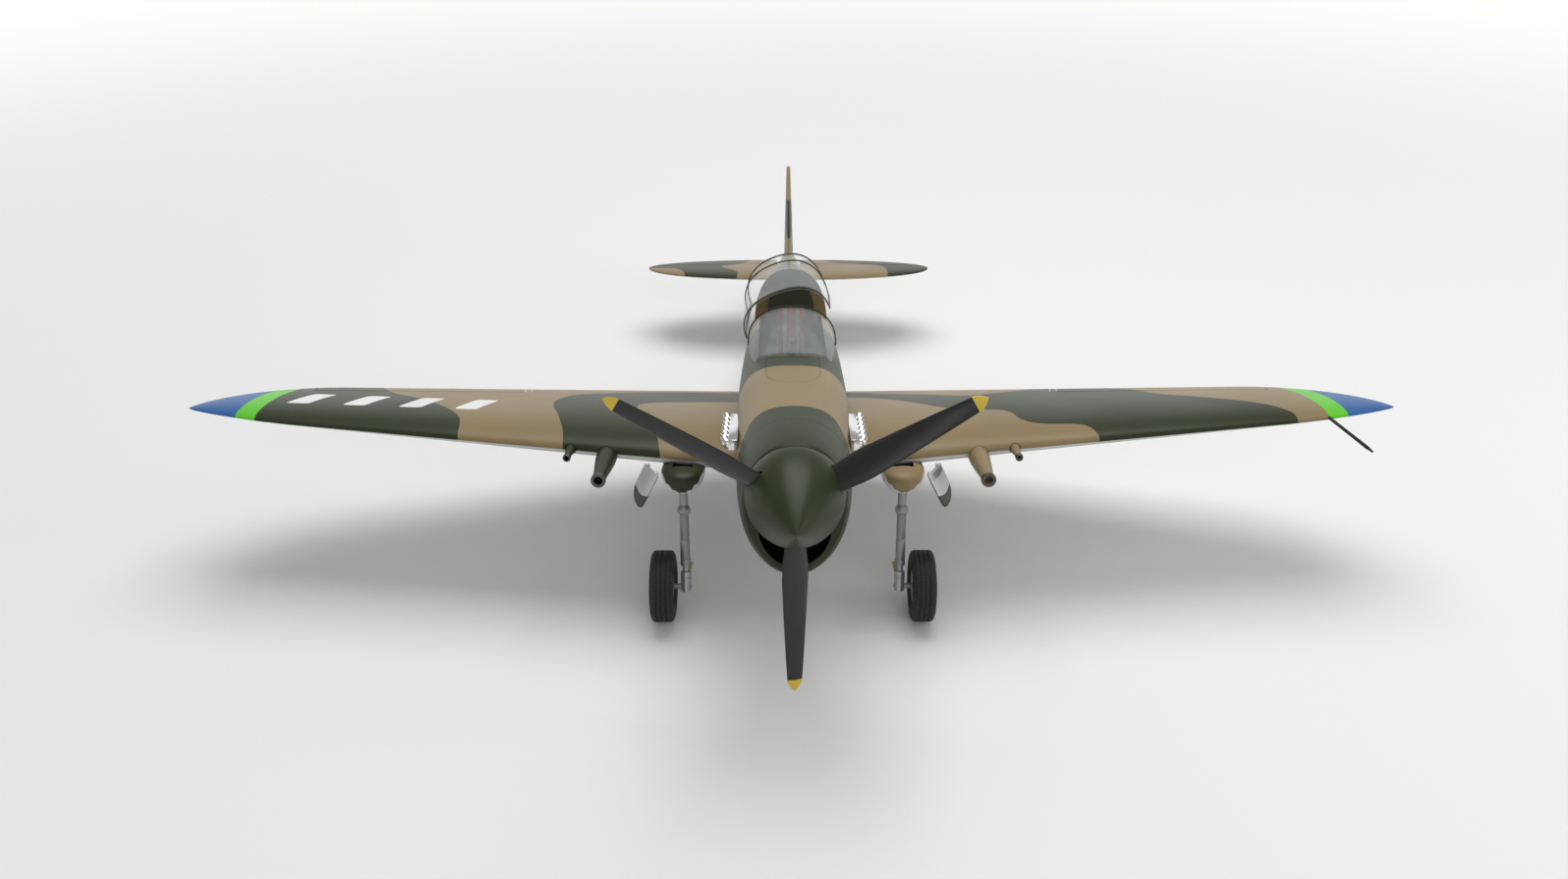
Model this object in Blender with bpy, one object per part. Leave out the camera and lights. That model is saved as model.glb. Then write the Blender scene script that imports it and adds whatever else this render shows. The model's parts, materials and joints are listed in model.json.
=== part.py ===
"""Radio controlled warbird plane, 1.4 m span, standing on its three wheels.

Every piece is modelled in the airframe's own axes: the origin is the propeller's
hub, X runs to the left wing, Y runs aft along the thrust line and Z runs up.
The empty named airframe then sets the model on the ground, tail down.
"""

import math

import bmesh
import bpy
from mathutils import Matrix, Vector

# Driving dimensions, in metres and degrees.
GAP = 0.0003  # between two pieces that touch
HINGE_GAP = 0.0006  # between a wing and the surface hinged to it
STANCE_DEG = 10.5  # thrust line above level, on its wheels
ORIGIN_AFT = 0.503  # from the hub back to the middle of the plane's length, on the ground

SPINNER_R = 0.0493
SPINNER_NOSE = 0.0825  # nose ahead of the propeller plane
SPINNER_BACK = 0.0160
SPINNER_WALL = 0.0016
PROP_R = 0.2064
PROP_HUB_R = 0.0135
PROP_ROOT_R = 0.0070
PROP_CHORD = 0.0320
PROP_TIP_CHORD = 0.0140
BLADES = 3
SHAFT_R = 0.0030
MOTOR_R = 0.0210
MOTOR_FRONT = 0.0300
BELL_LENGTH = 0.0360
STATOR_LENGTH = 0.0120
FIREWALL_T = 0.0060
FIREWALL_Y = 0.0900

COWL_FRONT = 0.0180
COWL_BACK = 0.0800
COWL_WALL = 0.0022
LIP_T = 0.0030
FUSELAGE_BACK = 1.0080
FUSELAGE_WALL = 0.0060
CAVITY_BACK = 0.7800
HULL_SEGMENTS = 24

HATCH_FRONT = 0.1900
HATCH_BACK = 0.2880
HATCH_HALF = 0.0300
SCREEN_FRONT = 0.2920
SCREEN_BACK = 0.3630
CANOPY_BACK = 0.5290
CANOPY_HALF = 0.0520
SILL_Z = 0.0520
SCREEN_TOP = 0.1010
CANOPY_TOP = 0.1110
GLASS_T = 0.0010
FRAME_T = 0.0014
BOW_WIDTH = 0.0050
RAIL_HEIGHT = 0.0060
CANOPY_OPEN_DEG = 20.0
COCKPIT_HALF = 0.0400
TUB_WALL = 0.0015
TUB_FLOOR = 0.0050
DECK_BACK = 0.6600
SPINE_HALF = 0.0110
WINDOW_BACK = 0.6050

SEMI_SPAN = 0.7000
WING_ROOT = 0.0300  # hidden inside the body, where the cut starts
LE_AT_ROOT = 0.2030
LE_SWEEP = 0.0880
TE_AT_ROOT = 0.5620
TE_SWEEP = -0.2620
TIP_ROUND = 0.5600
TIP_Y = 0.2880
LE_Z_ROOT = -0.0450
TE_Z_ROOT = -0.0700
LE_RISE = 0.0640
TE_RISE = 0.0960
THICK_ROOT = 0.1500
THICK_TIP = 0.0950
CAMBER = 0.0200

FLAP_IN = 0.0760
FLAP_OUT = 0.3300
AILERON_IN = 0.3360
AILERON_OUT = 0.5850
FLAP_CHORD = 0.2300  # share of the wing's chord
AILERON_CHORD = 0.2300
BEVEL_DEG = 27.0
END_GAP = 0.0010
SPAR_R = 0.0060
SPAR_WALL = 0.0010
SPAR_Y = 0.2620
SPAR_Z = -0.0370
SPAR_HALF = 0.1050
SERVO = (0.0230, 0.0220, 0.0110)

STAB_SPAN = 0.2296
STAB_LE = 0.8740
STAB_TE = 1.0220
STAB_Z = 0.0215
STAB_TIP_Y = 0.9580
STAB_THICK = 0.0120
ELEVATOR_Y = 0.9660
ELEVATOR_IN = 0.0190
TORQUE_ROD_R = 0.0020
HORN_X = 0.0250
HORN_HALF = 0.0040
FIN_TOP = 0.1810
FIN_TOP_Y = 1.0000
FIN_BASE_Z = 0.0300
FIN_LE = 0.8450
RUDDER_Y = 1.0120
RUDDER_TE = 1.0960
RUDDER_BOTTOM = -0.0120
FIN_THICK = 0.0150
RUDDER_BEVEL_DEG = 32.0

GUN_X = 0.2090
GUN_Z = -0.0375
GUN_R = 0.0115
GUN_MUZZLE = 0.1480
SMALL_GUN_X = 0.2500
SMALL_GUN_Z = -0.0300
SMALL_GUN_R = 0.0062
SMALL_GUN_MUZZLE = 0.1970
GUN_DEPTH = 0.0250  # into the leading edge
EXHAUST_X = 0.0640
EXHAUST_Z = 0.0160
EXHAUST_FRONT = 0.1120
EXHAUST_BACK = 0.1980
STUBS = 6
STUB_R = 0.0048
PITOT_X = 0.6150
PITOT_R = 0.0019
PITOT_TIP = 0.1480

LEG_X = 0.1230
LEG_Y = 0.2090
PIVOT_Z = -0.0620
PIN_R = 0.0020
EYE_R = 0.0055
TRUNNION_R = 0.0048
KNUCKLE_R = 0.0074
KNUCKLE_Z = -0.0920
CYLINDER_R = 0.0055
CYLINDER_END = -0.1650
PISTON_R = 0.0035
OLEO_TRAVEL = 0.0060
FOOT_R = 0.0058
AXLE_Z = -0.1918
AXLE_R = 0.0030
WHEEL_X = 0.1490
TYRE_R = 0.0422
TYRE_W = 0.0280
HUB_R = 0.0240
HUB_W = 0.0200
TYRE_SIDES = 24
CHEEK_IN = 0.0062
CHEEK_OUT = 0.0105
WELL_R = 0.0530
WELL_AFT = 0.1300  # from the leg to the middle of the well
WELL_X = 0.1255
WELL_TOP = -0.0270
FAIRING_R = 0.0245
FAIRING_Z = -0.0505
FAIRING_NOSE = 0.1800
FAIRING_BACK = 0.3300
FAIRING_FLAT = 0.4000  # how far its top is pressed flat under the wing
FAIRING_FULL = 0.2200  # share of its length where it is widest
SLOT_HALF = 0.0115
DOOR_X = 0.1500  # of its hinge at the front
DOOR_Z = -0.0530
DOOR_FRONT = 0.2060
DOOR_BACK = 0.2440
DOOR_DROP = 0.0450
DOOR_OUT = 0.0165
DOOR_TOE = 0.4700  # run outboard per run aft
DOOR_T = 0.0014

TAIL_LEG_Y = 0.9050
TAIL_AXLE_Y = 0.9218
TAIL_WHEEL_R = 0.0175
TAIL_WHEEL_W = 0.0120
TAIL_LEG_R = 0.0030
TAIL_LEG_TOP = 0.0120
FORK_T = 0.0022
TAIL_SIDES = 20
FORK_RISE = 0.0201  # of the fork's crown above the tail axle
FORK_GAP = 0.0008

MOUTH_HALF = 0.0360
MOUTH_TOP = -0.0345
MOUTH_CROWN = 0.0090
MOUTH_DROP = 0.0425
PLATE_FRONT = 0.0120
PANEL_HALF = 0.0330
PANEL_LOW = 0.0120
PANEL_HIGH = 0.0450
PANEL_CROWN = 0.0110
SEAT_HALF = 0.0170
SEAT_FRONT = 0.4300
SEAT_BACK = 0.4680
SEAT_TOP = 0.0740
CUSHION_TOP = 0.0160
BATTERY = (0.0430, 0.1250, 0.0300)
BATTERY_AT = (0.0, 0.1400, -0.0250)  # middle, front, bottom
CONTROLLER = (0.0300, 0.0650, 0.0140)
CONTROLLER_AT = (0.0, 0.1100, -0.0620)
RECEIVER = (0.0240, 0.0450, 0.0130)
RECEIVER_AT = (0.0, 0.3000, -0.0450)
TAIL_SERVO_X = 0.0160
TAIL_SERVO_Y = 0.5600
TAIL_SERVO_Z = -0.0300

HIGH = 0.2000  # cutters reach this far past the skins
LONG = 0.3000
DEEP = 0.0600
REACH = 0.1600
WIDE = 0.0500

# The ground under the main tyres, square to the lean, and the tail axle that stands on it.
LEAN = math.radians(STANCE_DEG)
TREAD_DROP = 0.0006  # from the tyre's nominal radius to its tread
TYRE_STAND = (TYRE_R - TREAD_DROP) * math.cos(math.pi / TYRE_SIDES)
GROUND = -LEG_Y * math.sin(LEAN) + AXLE_Z * math.cos(LEAN) - TYRE_STAND
TAIL_STAND = TAIL_WHEEL_R * math.cos(math.pi / TAIL_SIDES)
TAIL_AXLE_Z = (GROUND + TAIL_STAND + TAIL_AXLE_Y * math.sin(LEAN)) / math.cos(LEAN)
FORK_TOP = TAIL_AXLE_Z + FORK_RISE

for old in list(bpy.data.objects):
    bpy.data.objects.remove(old, do_unlink=True)

PARTS = bpy.data.collections.new("rc_warbird_plane")
CUTTERS = bpy.data.collections.new("cutters")
CUTTERS.hide_render = True
for group in (PARTS, CUTTERS):
    bpy.context.scene.collection.children.link(group)

AIRFRAME = bpy.data.objects.new("airframe", None)
PARTS.objects.link(AIRFRAME)
AIRFRAME.rotation_euler.x = -LEAN


def material(name, colour, roughness, metallic=0.0, alpha=1.0):
    """One Principled material, with its colour as linear RGB."""
    made = bpy.data.materials.new(name)
    made.use_nodes = True
    shader = made.node_tree.nodes["Principled BSDF"]
    shader.inputs["Base Color"].default_value = (*colour, 1.0)
    shader.inputs["Roughness"].default_value = roughness
    shader.inputs["Metallic"].default_value = metallic
    shader.inputs["Alpha"].default_value = alpha
    return made


def empty(name, place, parent=None):
    """A joint's axis marker, in airframe axes."""
    made = bpy.data.objects.new(name, None)
    PARTS.objects.link(made)
    made.parent = parent or AIRFRAME
    above = made.parent
    offset = Vector((0, 0, 0))
    while above is not None and above is not AIRFRAME:
        offset += above.location
        above = above.parent
    made.location = Vector(place) - offset
    return made


def hang(obj, parent):
    """Parent a piece drawn in airframe axes, keeping it where it was drawn."""
    obj.parent = parent or AIRFRAME
    above = obj.parent
    while above is not None and above is not AIRFRAME:
        obj.location -= above.location
        above = above.parent
    return obj


def node(name, bm, stuff, parent=None, smooth=True):
    """Make a named piece from a bmesh in airframe axes."""
    mesh = bpy.data.meshes.new(name)
    bmesh.ops.recalc_face_normals(bm, faces=bm.faces)
    bm.to_mesh(mesh)
    bm.free()
    if smooth:
        mesh.shade_smooth()
        mesh.set_sharp_from_angle(angle=math.radians(35))
    obj = bpy.data.objects.new(name, mesh)
    PARTS.objects.link(obj)
    mesh.materials.append(stuff)
    return hang(obj, parent)


def cutter(name, bm, parent=None):
    """A helper shape that only cuts."""
    mesh = bpy.data.meshes.new(name)
    bmesh.ops.recalc_face_normals(bm, faces=bm.faces)
    bm.to_mesh(mesh)
    bm.free()
    obj = bpy.data.objects.new(name, mesh)
    CUTTERS.objects.link(obj)
    obj.hide_render = True
    obj.display_type = "WIRE"
    return hang(obj, parent)


def boolean(obj, operation, other):
    step = obj.modifiers.new(f"{operation.lower()} {other.name}", "BOOLEAN")
    step.operation = operation
    step.object = other
    step.solver = "EXACT"
    return obj


def cut(obj, *others):
    for other in others:
        boolean(obj, "DIFFERENCE", other)
    return obj


def loft(rings, closed_ends=True):
    """Skin over rings that all hold the same number of points."""
    bm = bmesh.new()
    made = [[bm.verts.new(point) for point in ring] for ring in rings]
    count = len(made[0])
    for first, second in zip(made, made[1:]):
        for i in range(count):
            j = (i + 1) % count
            bm.faces.new((first[i], first[j], second[j], second[i]))
    if closed_ends:
        bm.faces.new(list(reversed(made[0])))
        bm.faces.new(made[-1])
    return bm


def box(low, high):
    bm = bmesh.new()
    bmesh.ops.create_cube(bm, size=1.0)
    size = [b - a for a, b in zip(low, high)]
    middle = [(a + b) / 2 for a, b in zip(low, high)]
    bmesh.ops.scale(bm, vec=size, verts=bm.verts)
    bmesh.ops.translate(bm, vec=middle, verts=bm.verts)
    return bm


def rod(start, end, radius, sides=12, radius_end=None, bm=None):
    """A cylinder or cone between two points, added to bm if one is given."""
    bm = bm or bmesh.new()
    start = Vector(start)
    end = Vector(end)
    run = end - start
    turn = run.to_track_quat("Z", "Y").to_matrix().to_4x4()
    bmesh.ops.create_cone(
        bm,
        cap_ends=True,
        segments=sides,
        radius1=radius,
        radius2=radius if radius_end is None else radius_end,
        depth=run.length,
        matrix=Matrix.Translation((start + end) / 2) @ turn,
    )
    return bm


def turned(profile, centre, axis, sides=24, phase=0.0):
    """Spin a profile of (along, radius) points about an axis; it closes on itself or on the axis."""
    along = Vector(axis).normalized()
    side = along.orthogonal().normalized()
    out = Matrix.Rotation(phase, 3, along) @ side
    bm = bmesh.new()
    points = [bm.verts.new(Vector(centre) + along * step + out * radius) for step, radius in profile]
    edges = [bm.edges.new(pair) for pair in zip(points, points[1:])]
    if profile[0][1] > 0.0:
        edges.append(bm.edges.new((points[-1], points[0])))
    bmesh.ops.spin(
        bm,
        geom=points + edges,
        cent=Vector(centre),
        axis=along,
        angle=2 * math.pi,
        steps=sides,
        use_merge=True,
    )
    bmesh.ops.remove_doubles(bm, verts=bm.verts, dist=1e-6)
    return bm


def blend(low, high, share):
    return low + (high - low) * share


# Paints and plastics.
OLIVE = material("olive_paint", (0.032, 0.038, 0.016), 0.45)
TAN = material("tan_paint", (0.238, 0.178, 0.079), 0.45)
BELLY = material("grey_paint", (0.62, 0.63, 0.62), 0.45)
BLACK = material("black_nylon", (0.006, 0.006, 0.006), 0.5)
RUBBER = material("tyre_rubber", (0.010, 0.010, 0.010), 0.85)
ALLOY = material("aluminium_alloy", (0.42, 0.43, 0.44), 0.32, 1.0)
CHROME = material("chrome_plate", (0.80, 0.80, 0.82), 0.12, 1.0)
STEEL = material("steel", (0.45, 0.45, 0.46), 0.30, 1.0)
CLEAR = material("clear_plastic", (0.85, 0.88, 0.88), 0.05, 0.0, 0.3)
CARBON = material("carbon_tube", (0.015, 0.015, 0.016), 0.35)
PLYWOOD = material("plywood", (0.45, 0.30, 0.16), 0.7)
CASE = material("electronics_case", (0.02, 0.05, 0.18), 0.4)
RED = material("red_leather", (0.16, 0.012, 0.010), 0.6)

# Body sections: aft, half width, top, bottom, fullness of the top, of the bottom.
SECTIONS = (
    (COWL_FRONT, 0.0515, 0.0505, -0.0860, 2.0, 1.9),
    (0.0370, 0.0548, 0.0525, -0.0945, 2.1, 1.95),
    (0.0600, 0.0572, 0.0540, -0.0990, 2.2, 2.0),
    (COWL_BACK, 0.0585, 0.0550, -0.1005, 2.3, 2.1),
    (0.1230, 0.0605, 0.0570, -0.1000, 2.5, 2.2),
    (0.1850, 0.0625, 0.0595, -0.0970, 2.8, 2.3),
    (0.2500, 0.0630, 0.0612, -0.0930, 3.1, 2.4),
    (0.3200, 0.0622, 0.0600, -0.0885, 3.3, 2.4),
    (0.4000, 0.0605, 0.0590, -0.0820, 3.3, 2.4),
    (0.4700, 0.0575, 0.0580, -0.0745, 3.2, 2.3),
    (0.5400, 0.0535, 0.0580, -0.0660, 3.0, 2.2),
    (0.6200, 0.0475, 0.0575, -0.0560, 2.6, 2.1),
    (0.7200, 0.0390, 0.0560, -0.0440, 2.3, 2.0),
    (0.8300, 0.0285, 0.0535, -0.0315, 2.1, 2.0),
    (0.9200, 0.0190, 0.0505, -0.0215, 2.0, 2.0),
    (0.9700, 0.0132, 0.0480, -0.0160, 2.0, 2.0),
    (FUSELAGE_BACK, 0.0085, 0.0450, -0.0120, 2.0, 2.0),
)


def body_values(aft):
    """The body's section at any station, eased between the listed ones."""
    for low, high in zip(SECTIONS, SECTIONS[1:]):
        if aft <= high[0]:
            share = (aft - low[0]) / (high[0] - low[0])
            return [blend(a, b, share) for a, b in zip(low, high)]
    return list(SECTIONS[-1])


def body_ring(aft, grow=0.0):
    """One closed ring round the body, grown outwards or, below zero, inwards."""
    _, half, top, bottom, full_top, full_bottom = body_values(aft)
    middle = blend(bottom, top, 0.55)
    ring = []
    for k in range(HULL_SEGMENTS):
        angle = 2 * math.pi * (k + 0.5) / HULL_SEGMENTS
        c = math.cos(angle)
        s = math.sin(angle)
        power = 2 / (full_top if s > 0 else full_bottom)
        reach = (top - middle if s > 0 else middle - bottom) + grow
        x = math.copysign(abs(c) ** power, c) * (half + grow)
        z = middle + math.copysign(abs(s) ** power, s) * reach
        ring.append((x, aft, z))
    return ring


def body_solid(front, back, grow=0.0):
    stations = [front] + [s[0] for s in SECTIONS if front + 0.004 < s[0] < back - 0.004] + [back]
    return loft([body_ring(aft, grow) for aft in stations])


def arch_ring(aft, half, foot, top, grow, drop, points=14):
    """A canopy arch: a full, slightly squared curve whose sides run straight down by drop."""
    ring = [(-half - grow, aft, foot - drop), (half + grow, aft, foot - drop)] if drop else []
    for k in range(points + 1):
        angle = math.pi * k / points
        c = math.cos(angle)
        x = math.copysign(abs(c) ** 0.86, c) * (half + grow)
        ring.append((x, aft, foot + math.sin(angle) ** 0.80 * (top - foot + grow)))
    return ring


def arch_solid(stations, foot, grow=0.0, drop=0.0):
    """stations: aft, half width and top of each arch."""
    return loft([arch_ring(aft, half, foot, top, grow, drop) for aft, half, top in stations])


def prism(outline, low, high):
    """A plan outline of (x, y) points drawn up from low to high."""
    rings = [[(x, y, z) for x, y in outline] for z in (low, high)]
    return loft(rings)


# Fuselage: foam shell with the cockpit, hatch and equipment bay cut out.
DECK = (
    (CANOPY_BACK + 4 * GAP, CANOPY_HALF - 0.004, CANOPY_TOP),
    (0.5700, 0.0460, 0.1040),
    (0.6150, 0.0400, 0.0880),
    (DECK_BACK, 0.0300, 0.0600),
)
fuselage = node("fuselage", body_solid(COWL_BACK + GAP, FUSELAGE_BACK), OLIVE)
deck = cutter("rear_deck", arch_solid(DECK, 0.0300))
cavity = cutter("equipment_bay", body_solid(COWL_BACK - 0.01, CAVITY_BACK, -FUSELAGE_WALL))
cockpit_cut = cutter(
    "cockpit_opening",
    box((-COCKPIT_HALF - GAP, SCREEN_FRONT + 0.006, 0.0), (COCKPIT_HALF + GAP, CANOPY_BACK - 0.006, HIGH)),
)


def hatch_outline(grow):
    """The hatch from above: a round front and straight sides."""
    half = HATCH_HALF + grow
    front = HATCH_FRONT - grow
    depth = 0.040
    points = [(half, HATCH_BACK + grow)]
    for k in range(13):
        angle = math.pi * k / 12
        points.append((half * math.cos(angle), front + depth * (1 - math.sin(angle))))
    points.append((-half, HATCH_BACK + grow))
    return points


hatch_cut = cutter("hatch_opening", prism(hatch_outline(GAP), 0.0300, HIGH))
window_cuts = []
for side in (-1, 1):
    low = (min(side * SPINE_HALF, side * LONG), CANOPY_BACK + 0.006, SILL_Z + 0.008)
    high = (max(side * SPINE_HALF, side * LONG), WINDOW_BACK, HIGH)
    window_cuts.append(cutter(f"window_opening_{side}", box(low, high)))
joiner_cut = cutter("spar_bore", rod((-0.2, SPAR_Y, SPAR_Z), (0.2, SPAR_Y, SPAR_Z), SPAR_R + GAP))
torque_cut = cutter(
    "torque_rod_bore",
    rod((-0.04, ELEVATOR_Y, STAB_Z), (0.04, ELEVATOR_Y, STAB_Z), TORQUE_ROD_R + GAP),
)
tail_leg_cut = cutter(
    "tail_leg_bore",
    rod((0, TAIL_LEG_Y, -0.060), (0, TAIL_LEG_Y, TAIL_LEG_TOP + GAP), TAIL_LEG_R + GAP, 12),
)
boolean(fuselage, "DIFFERENCE", cavity)
boolean(fuselage, "UNION", deck)
cut(fuselage, cockpit_cut, hatch_cut, *window_cuts, joiner_cut, torque_cut, tail_leg_cut)

hatch_lift = empty("hatch_slide", (0, HATCH_FRONT, 0.06))
hatch = node("battery_hatch", body_solid(0.1200, 0.3600), OLIVE, hatch_lift)
hatch_keep = cutter("hatch_keep", prism(hatch_outline(0.0), 0.0400, HIGH))
hatch_under = cutter("hatch_under", body_solid(0.1100, 0.3700, -FUSELAGE_WALL))
boolean(hatch, "INTERSECT", hatch_keep)
cut(hatch, hatch_under)

# Rear glazing: a thin moulding each side of the spine.
for name, side in (("rear_window_right", -1), ("rear_window_left", 1)):
    pane = node(name, arch_solid(DECK, 0.0300), CLEAR)
    low = (min(side * (SPINE_HALF + GAP), side * LONG), CANOPY_BACK + 0.006 + GAP, SILL_Z + 0.008 + GAP)
    high = (max(side * (SPINE_HALF + GAP), side * LONG), WINDOW_BACK - GAP, HIGH)
    boolean(pane, "INTERSECT", cutter(f"{name}_keep", box(low, high)))
    cut(pane, cutter(f"{name}_inside", arch_solid(DECK, 0.0300, -0.0012, 0.02)))

# Nose cowl with the chin intake.
cowl = node("nose_cowl", body_solid(COWL_FRONT, COWL_BACK), OLIVE)
cowl_cavity = cutter("cowl_cavity", body_solid(COWL_FRONT + LIP_T, COWL_BACK + 0.01, -COWL_WALL))
shaft_hole = cutter("cowl_shaft_hole", rod((0, 0, 0), (0, 0.03, 0), 0.0240, 24))
mouth = []
for k in range(9):
    angle = math.pi * k / 8
    mouth.append((MOUTH_HALF * math.cos(angle), MOUTH_TOP - MOUTH_CROWN * math.sin(angle)))
for k in range(1, 8):
    angle = math.pi * k / 8
    mouth.append((-MOUTH_HALF * math.cos(angle), MOUTH_TOP - MOUTH_DROP * math.sin(angle)))
mouth_cut = cutter("chin_mouth", loft([[(x, y, z) for x, z in mouth] for y in (0.0, 0.030)]))
cut(cowl, cowl_cavity, shaft_hole, mouth_cut)

# Motor: plywood firewall and mount, fixed stator, turning bell with its shaft.
firewall_bm = body_solid(FIREWALL_Y, FIREWALL_Y + FIREWALL_T, -FUSELAGE_WALL - GAP)
firewall = node("motor_mount", firewall_bm, PLYWOOD)
firewall_low = cutter("firewall_low", box((-0.1, 0, -0.2), (0.1, 0.2, -0.0450)))
boolean(firewall, "DIFFERENCE", firewall_low)
bell_back = MOTOR_FRONT + BELL_LENGTH
post = rod((0, bell_back + STATOR_LENGTH + 2 * GAP, 0), (0, FIREWALL_Y + 0.003, 0), 0.0150, 20)
boolean(firewall, "UNION", cutter("mount_post", post))
stator_profile = ((0, SHAFT_R + GAP), (0, 0.0170), (STATOR_LENGTH, 0.0170), (STATOR_LENGTH, SHAFT_R + GAP))
node("motor_stator", turned(stator_profile, (0, bell_back + GAP, 0), (0, 1, 0)), STEEL)
prop_axis = empty("propeller_spin", (0, 0, 0))
bell_profile = (
    (-0.0340, 0.0),
    (-0.0340, SHAFT_R),
    (MOTOR_FRONT, SHAFT_R),
    (MOTOR_FRONT + 0.004, MOTOR_R - 0.004),
    (MOTOR_FRONT + 0.008, MOTOR_R),
    (bell_back, MOTOR_R),
    (bell_back, SHAFT_R),
    (bell_back + 0.010, SHAFT_R),
    (bell_back + 0.010, 0.0),
)
node("motor_bell", turned(bell_profile, (0, 0, 0), (0, 1, 0)), BLACK, prop_axis)

def spinner_radius(aft, grow=0.0):
    """The spinner's outline: a pointed ogive, full at the back."""
    share = max(0.0, (aft + SPINNER_NOSE) / (SPINNER_BACK + SPINNER_NOSE))
    return max(0.0, SPINNER_R * (1 - (1 - share) ** 1.75) + grow)


# Propeller group: backplate, one-piece propeller and spinner shell.
plate_r = spinner_radius(PLATE_FRONT, -SPINNER_WALL) - 3 * GAP
plate_profile = (
    (PLATE_FRONT, SHAFT_R + GAP),
    (PLATE_FRONT, plate_r),
    (SPINNER_BACK - GAP, plate_r),
    (SPINNER_BACK - GAP, SHAFT_R + GAP),
)
node("spinner_backplate", turned(plate_profile, (0, 0, 0), (0, 1, 0), 20), BLACK, prop_axis)


outer = [(blend(-SPINNER_NOSE, SPINNER_BACK, k / 6), k) for k in range(7)]
spinner_profile = [(-SPINNER_NOSE, 0.0)]
spinner_profile += [(aft, spinner_radius(aft)) for aft, k in outer[1:]]
spinner_profile += [(aft, spinner_radius(aft, -SPINNER_WALL)) for aft, k in reversed(outer[2:])]
spinner_profile += [(-SPINNER_NOSE + 0.008, 0.0)]
spinner = node("spinner", turned(spinner_profile, (0, 0, 0), (0, 1, 0), 20), OLIVE, prop_axis)


def blade_bm(grow=0.0, start=0.0075, tip=PROP_R):
    """One blade pointing down: round root, widest at half radius, round twisted tip."""
    rings = []
    for k in range(7):
        share = k / 6
        radius = blend(start, tip - 0.0006, share)
        if k == 6:
            half = 0.0026
        else:
            half = blend(PROP_ROOT_R, PROP_CHORD / 2, math.sin(min(1.0, share / 0.36) * math.pi / 2))
            half = blend(half, PROP_TIP_CHORD / 2, max(0.0, share - 0.36) / 0.64)
        thick = blend(PROP_ROOT_R * 0.9, 0.0016, min(1.0, share * 1.6))
        twist = math.radians(blend(48, 16, share))
        ring = []
        for j in range(8):
            angle = 2 * math.pi * j / 8
            chord = (half + grow) * math.cos(angle)
            depth = (thick + grow) * math.sin(angle)
            x = chord * math.cos(twist) - depth * math.sin(twist)
            y = chord * math.sin(twist) + depth * math.cos(twist)
            ring.append((x, y, -radius))
        rings.append(ring)
    return loft(rings)


hub_profile = (
    (-0.0100, SHAFT_R + GAP),
    (-0.0100, PROP_HUB_R),
    (0.0115, PROP_HUB_R),
    (0.0115, SHAFT_R + GAP),
)
propeller = node("propeller", turned(hub_profile, (0, 0, 0), (0, 1, 0)), BLACK, prop_axis)
for k in range(BLADES):
    turn = Matrix.Rotation(2 * math.pi * k / BLADES, 4, "Y")
    blade = blade_bm()
    bmesh.ops.transform(blade, matrix=turn, verts=blade.verts)
    boolean(propeller, "UNION", cutter(f"blade_{k + 1}", blade, prop_axis))
    slot = blade_bm(0.0012)
    bmesh.ops.transform(slot, matrix=turn, verts=slot.verts)
    cut(spinner, cutter(f"blade_slot_{k + 1}", slot, prop_axis))
cut(propeller, cutter("prop_bore", rod((0, -0.02, 0), (0, 0.02, 0), SHAFT_R + GAP, 24), prop_axis))


# Wings: one tapered, round-tipped loft a side, cut by the body, wells, bays and bores.
def wing_section(span, grow=0.0, points=9):
    """The wing's section at a distance from the plane's middle, as (y, z) round the edge."""
    lead = LE_AT_ROOT + LE_SWEEP * span
    trail = TE_AT_ROOT + TE_SWEEP * span
    middle = (lead + trail) / 2
    half = (trail - lead) / 2
    past = max(0.0, (span - TIP_ROUND) / (SEMI_SPAN - TIP_ROUND))
    shrink = math.sqrt(max(0.0004, 1 - past * past))
    tip_middle = LE_AT_ROOT + LE_SWEEP * SEMI_SPAN + TE_AT_ROOT + TE_SWEEP * SEMI_SPAN
    middle += (TIP_Y - tip_middle / 2) * (1 - shrink)
    half *= shrink
    low = LE_Z_ROOT + LE_RISE * span
    high = TE_Z_ROOT + TE_RISE * span
    thick = blend(THICK_ROOT, THICK_TIP, span / SEMI_SPAN) * 2 * half * 5

    def surface(share, side):
        shape = 0.2969 * math.sqrt(share) - 0.126 * share - 0.3516 * share**2
        shape += 0.2843 * share**3 - 0.1036 * share**4 + 0.006 * share
        bow = CAMBER * 4 * share * (1 - share) * 2 * half
        y = middle - half + 2 * half * share
        return (y, blend(low, high, share) + bow + side * (thick * shape + grow))

    shares = [(1 - math.cos(math.pi * k / points)) / 2 for k in range(points + 1)]
    upper = [surface(share, 1) for share in reversed(shares)]
    lower = [surface(share, -1) for share in shares[1:]]
    upper[0] = (upper[0][0], blend(low, high, 1.0) + 0.0006)
    lower[-1] = (lower[-1][0], blend(low, high, 1.0) - 0.0006)
    if grow > 0:
        upper = [(y + (grow if k == 0 else 0), z) for k, (y, z) in enumerate(upper)]
        lower = [(y + (grow if k == points - 1 else 0), z) for k, (y, z) in enumerate(lower)]
        nose_y, nose_z = upper[-1]
        upper[-1] = (nose_y - grow, nose_z - grow)
    return upper + lower


def wing_height(span, aft, side):
    """Height of the wing's upper (1) or lower (-1) skin at a place."""
    ring = wing_section(span)
    row = ring[:10] if side > 0 else ring[9:]
    row = sorted(row)
    for (y0, z0), (y1, z1) in zip(row, row[1:]):
        if y0 <= aft <= y1:
            return blend(z0, z1, (aft - y0) / (y1 - y0))
    return row[-1][1]


WING_STATIONS = [WING_ROOT, 0.0700, 0.1600, 0.2500, 0.3400, 0.4200, 0.5000, TIP_ROUND]
WING_STATIONS += [0.6000, 0.6350, 0.6600, 0.6800, 0.6920, SEMI_SPAN]


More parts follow.
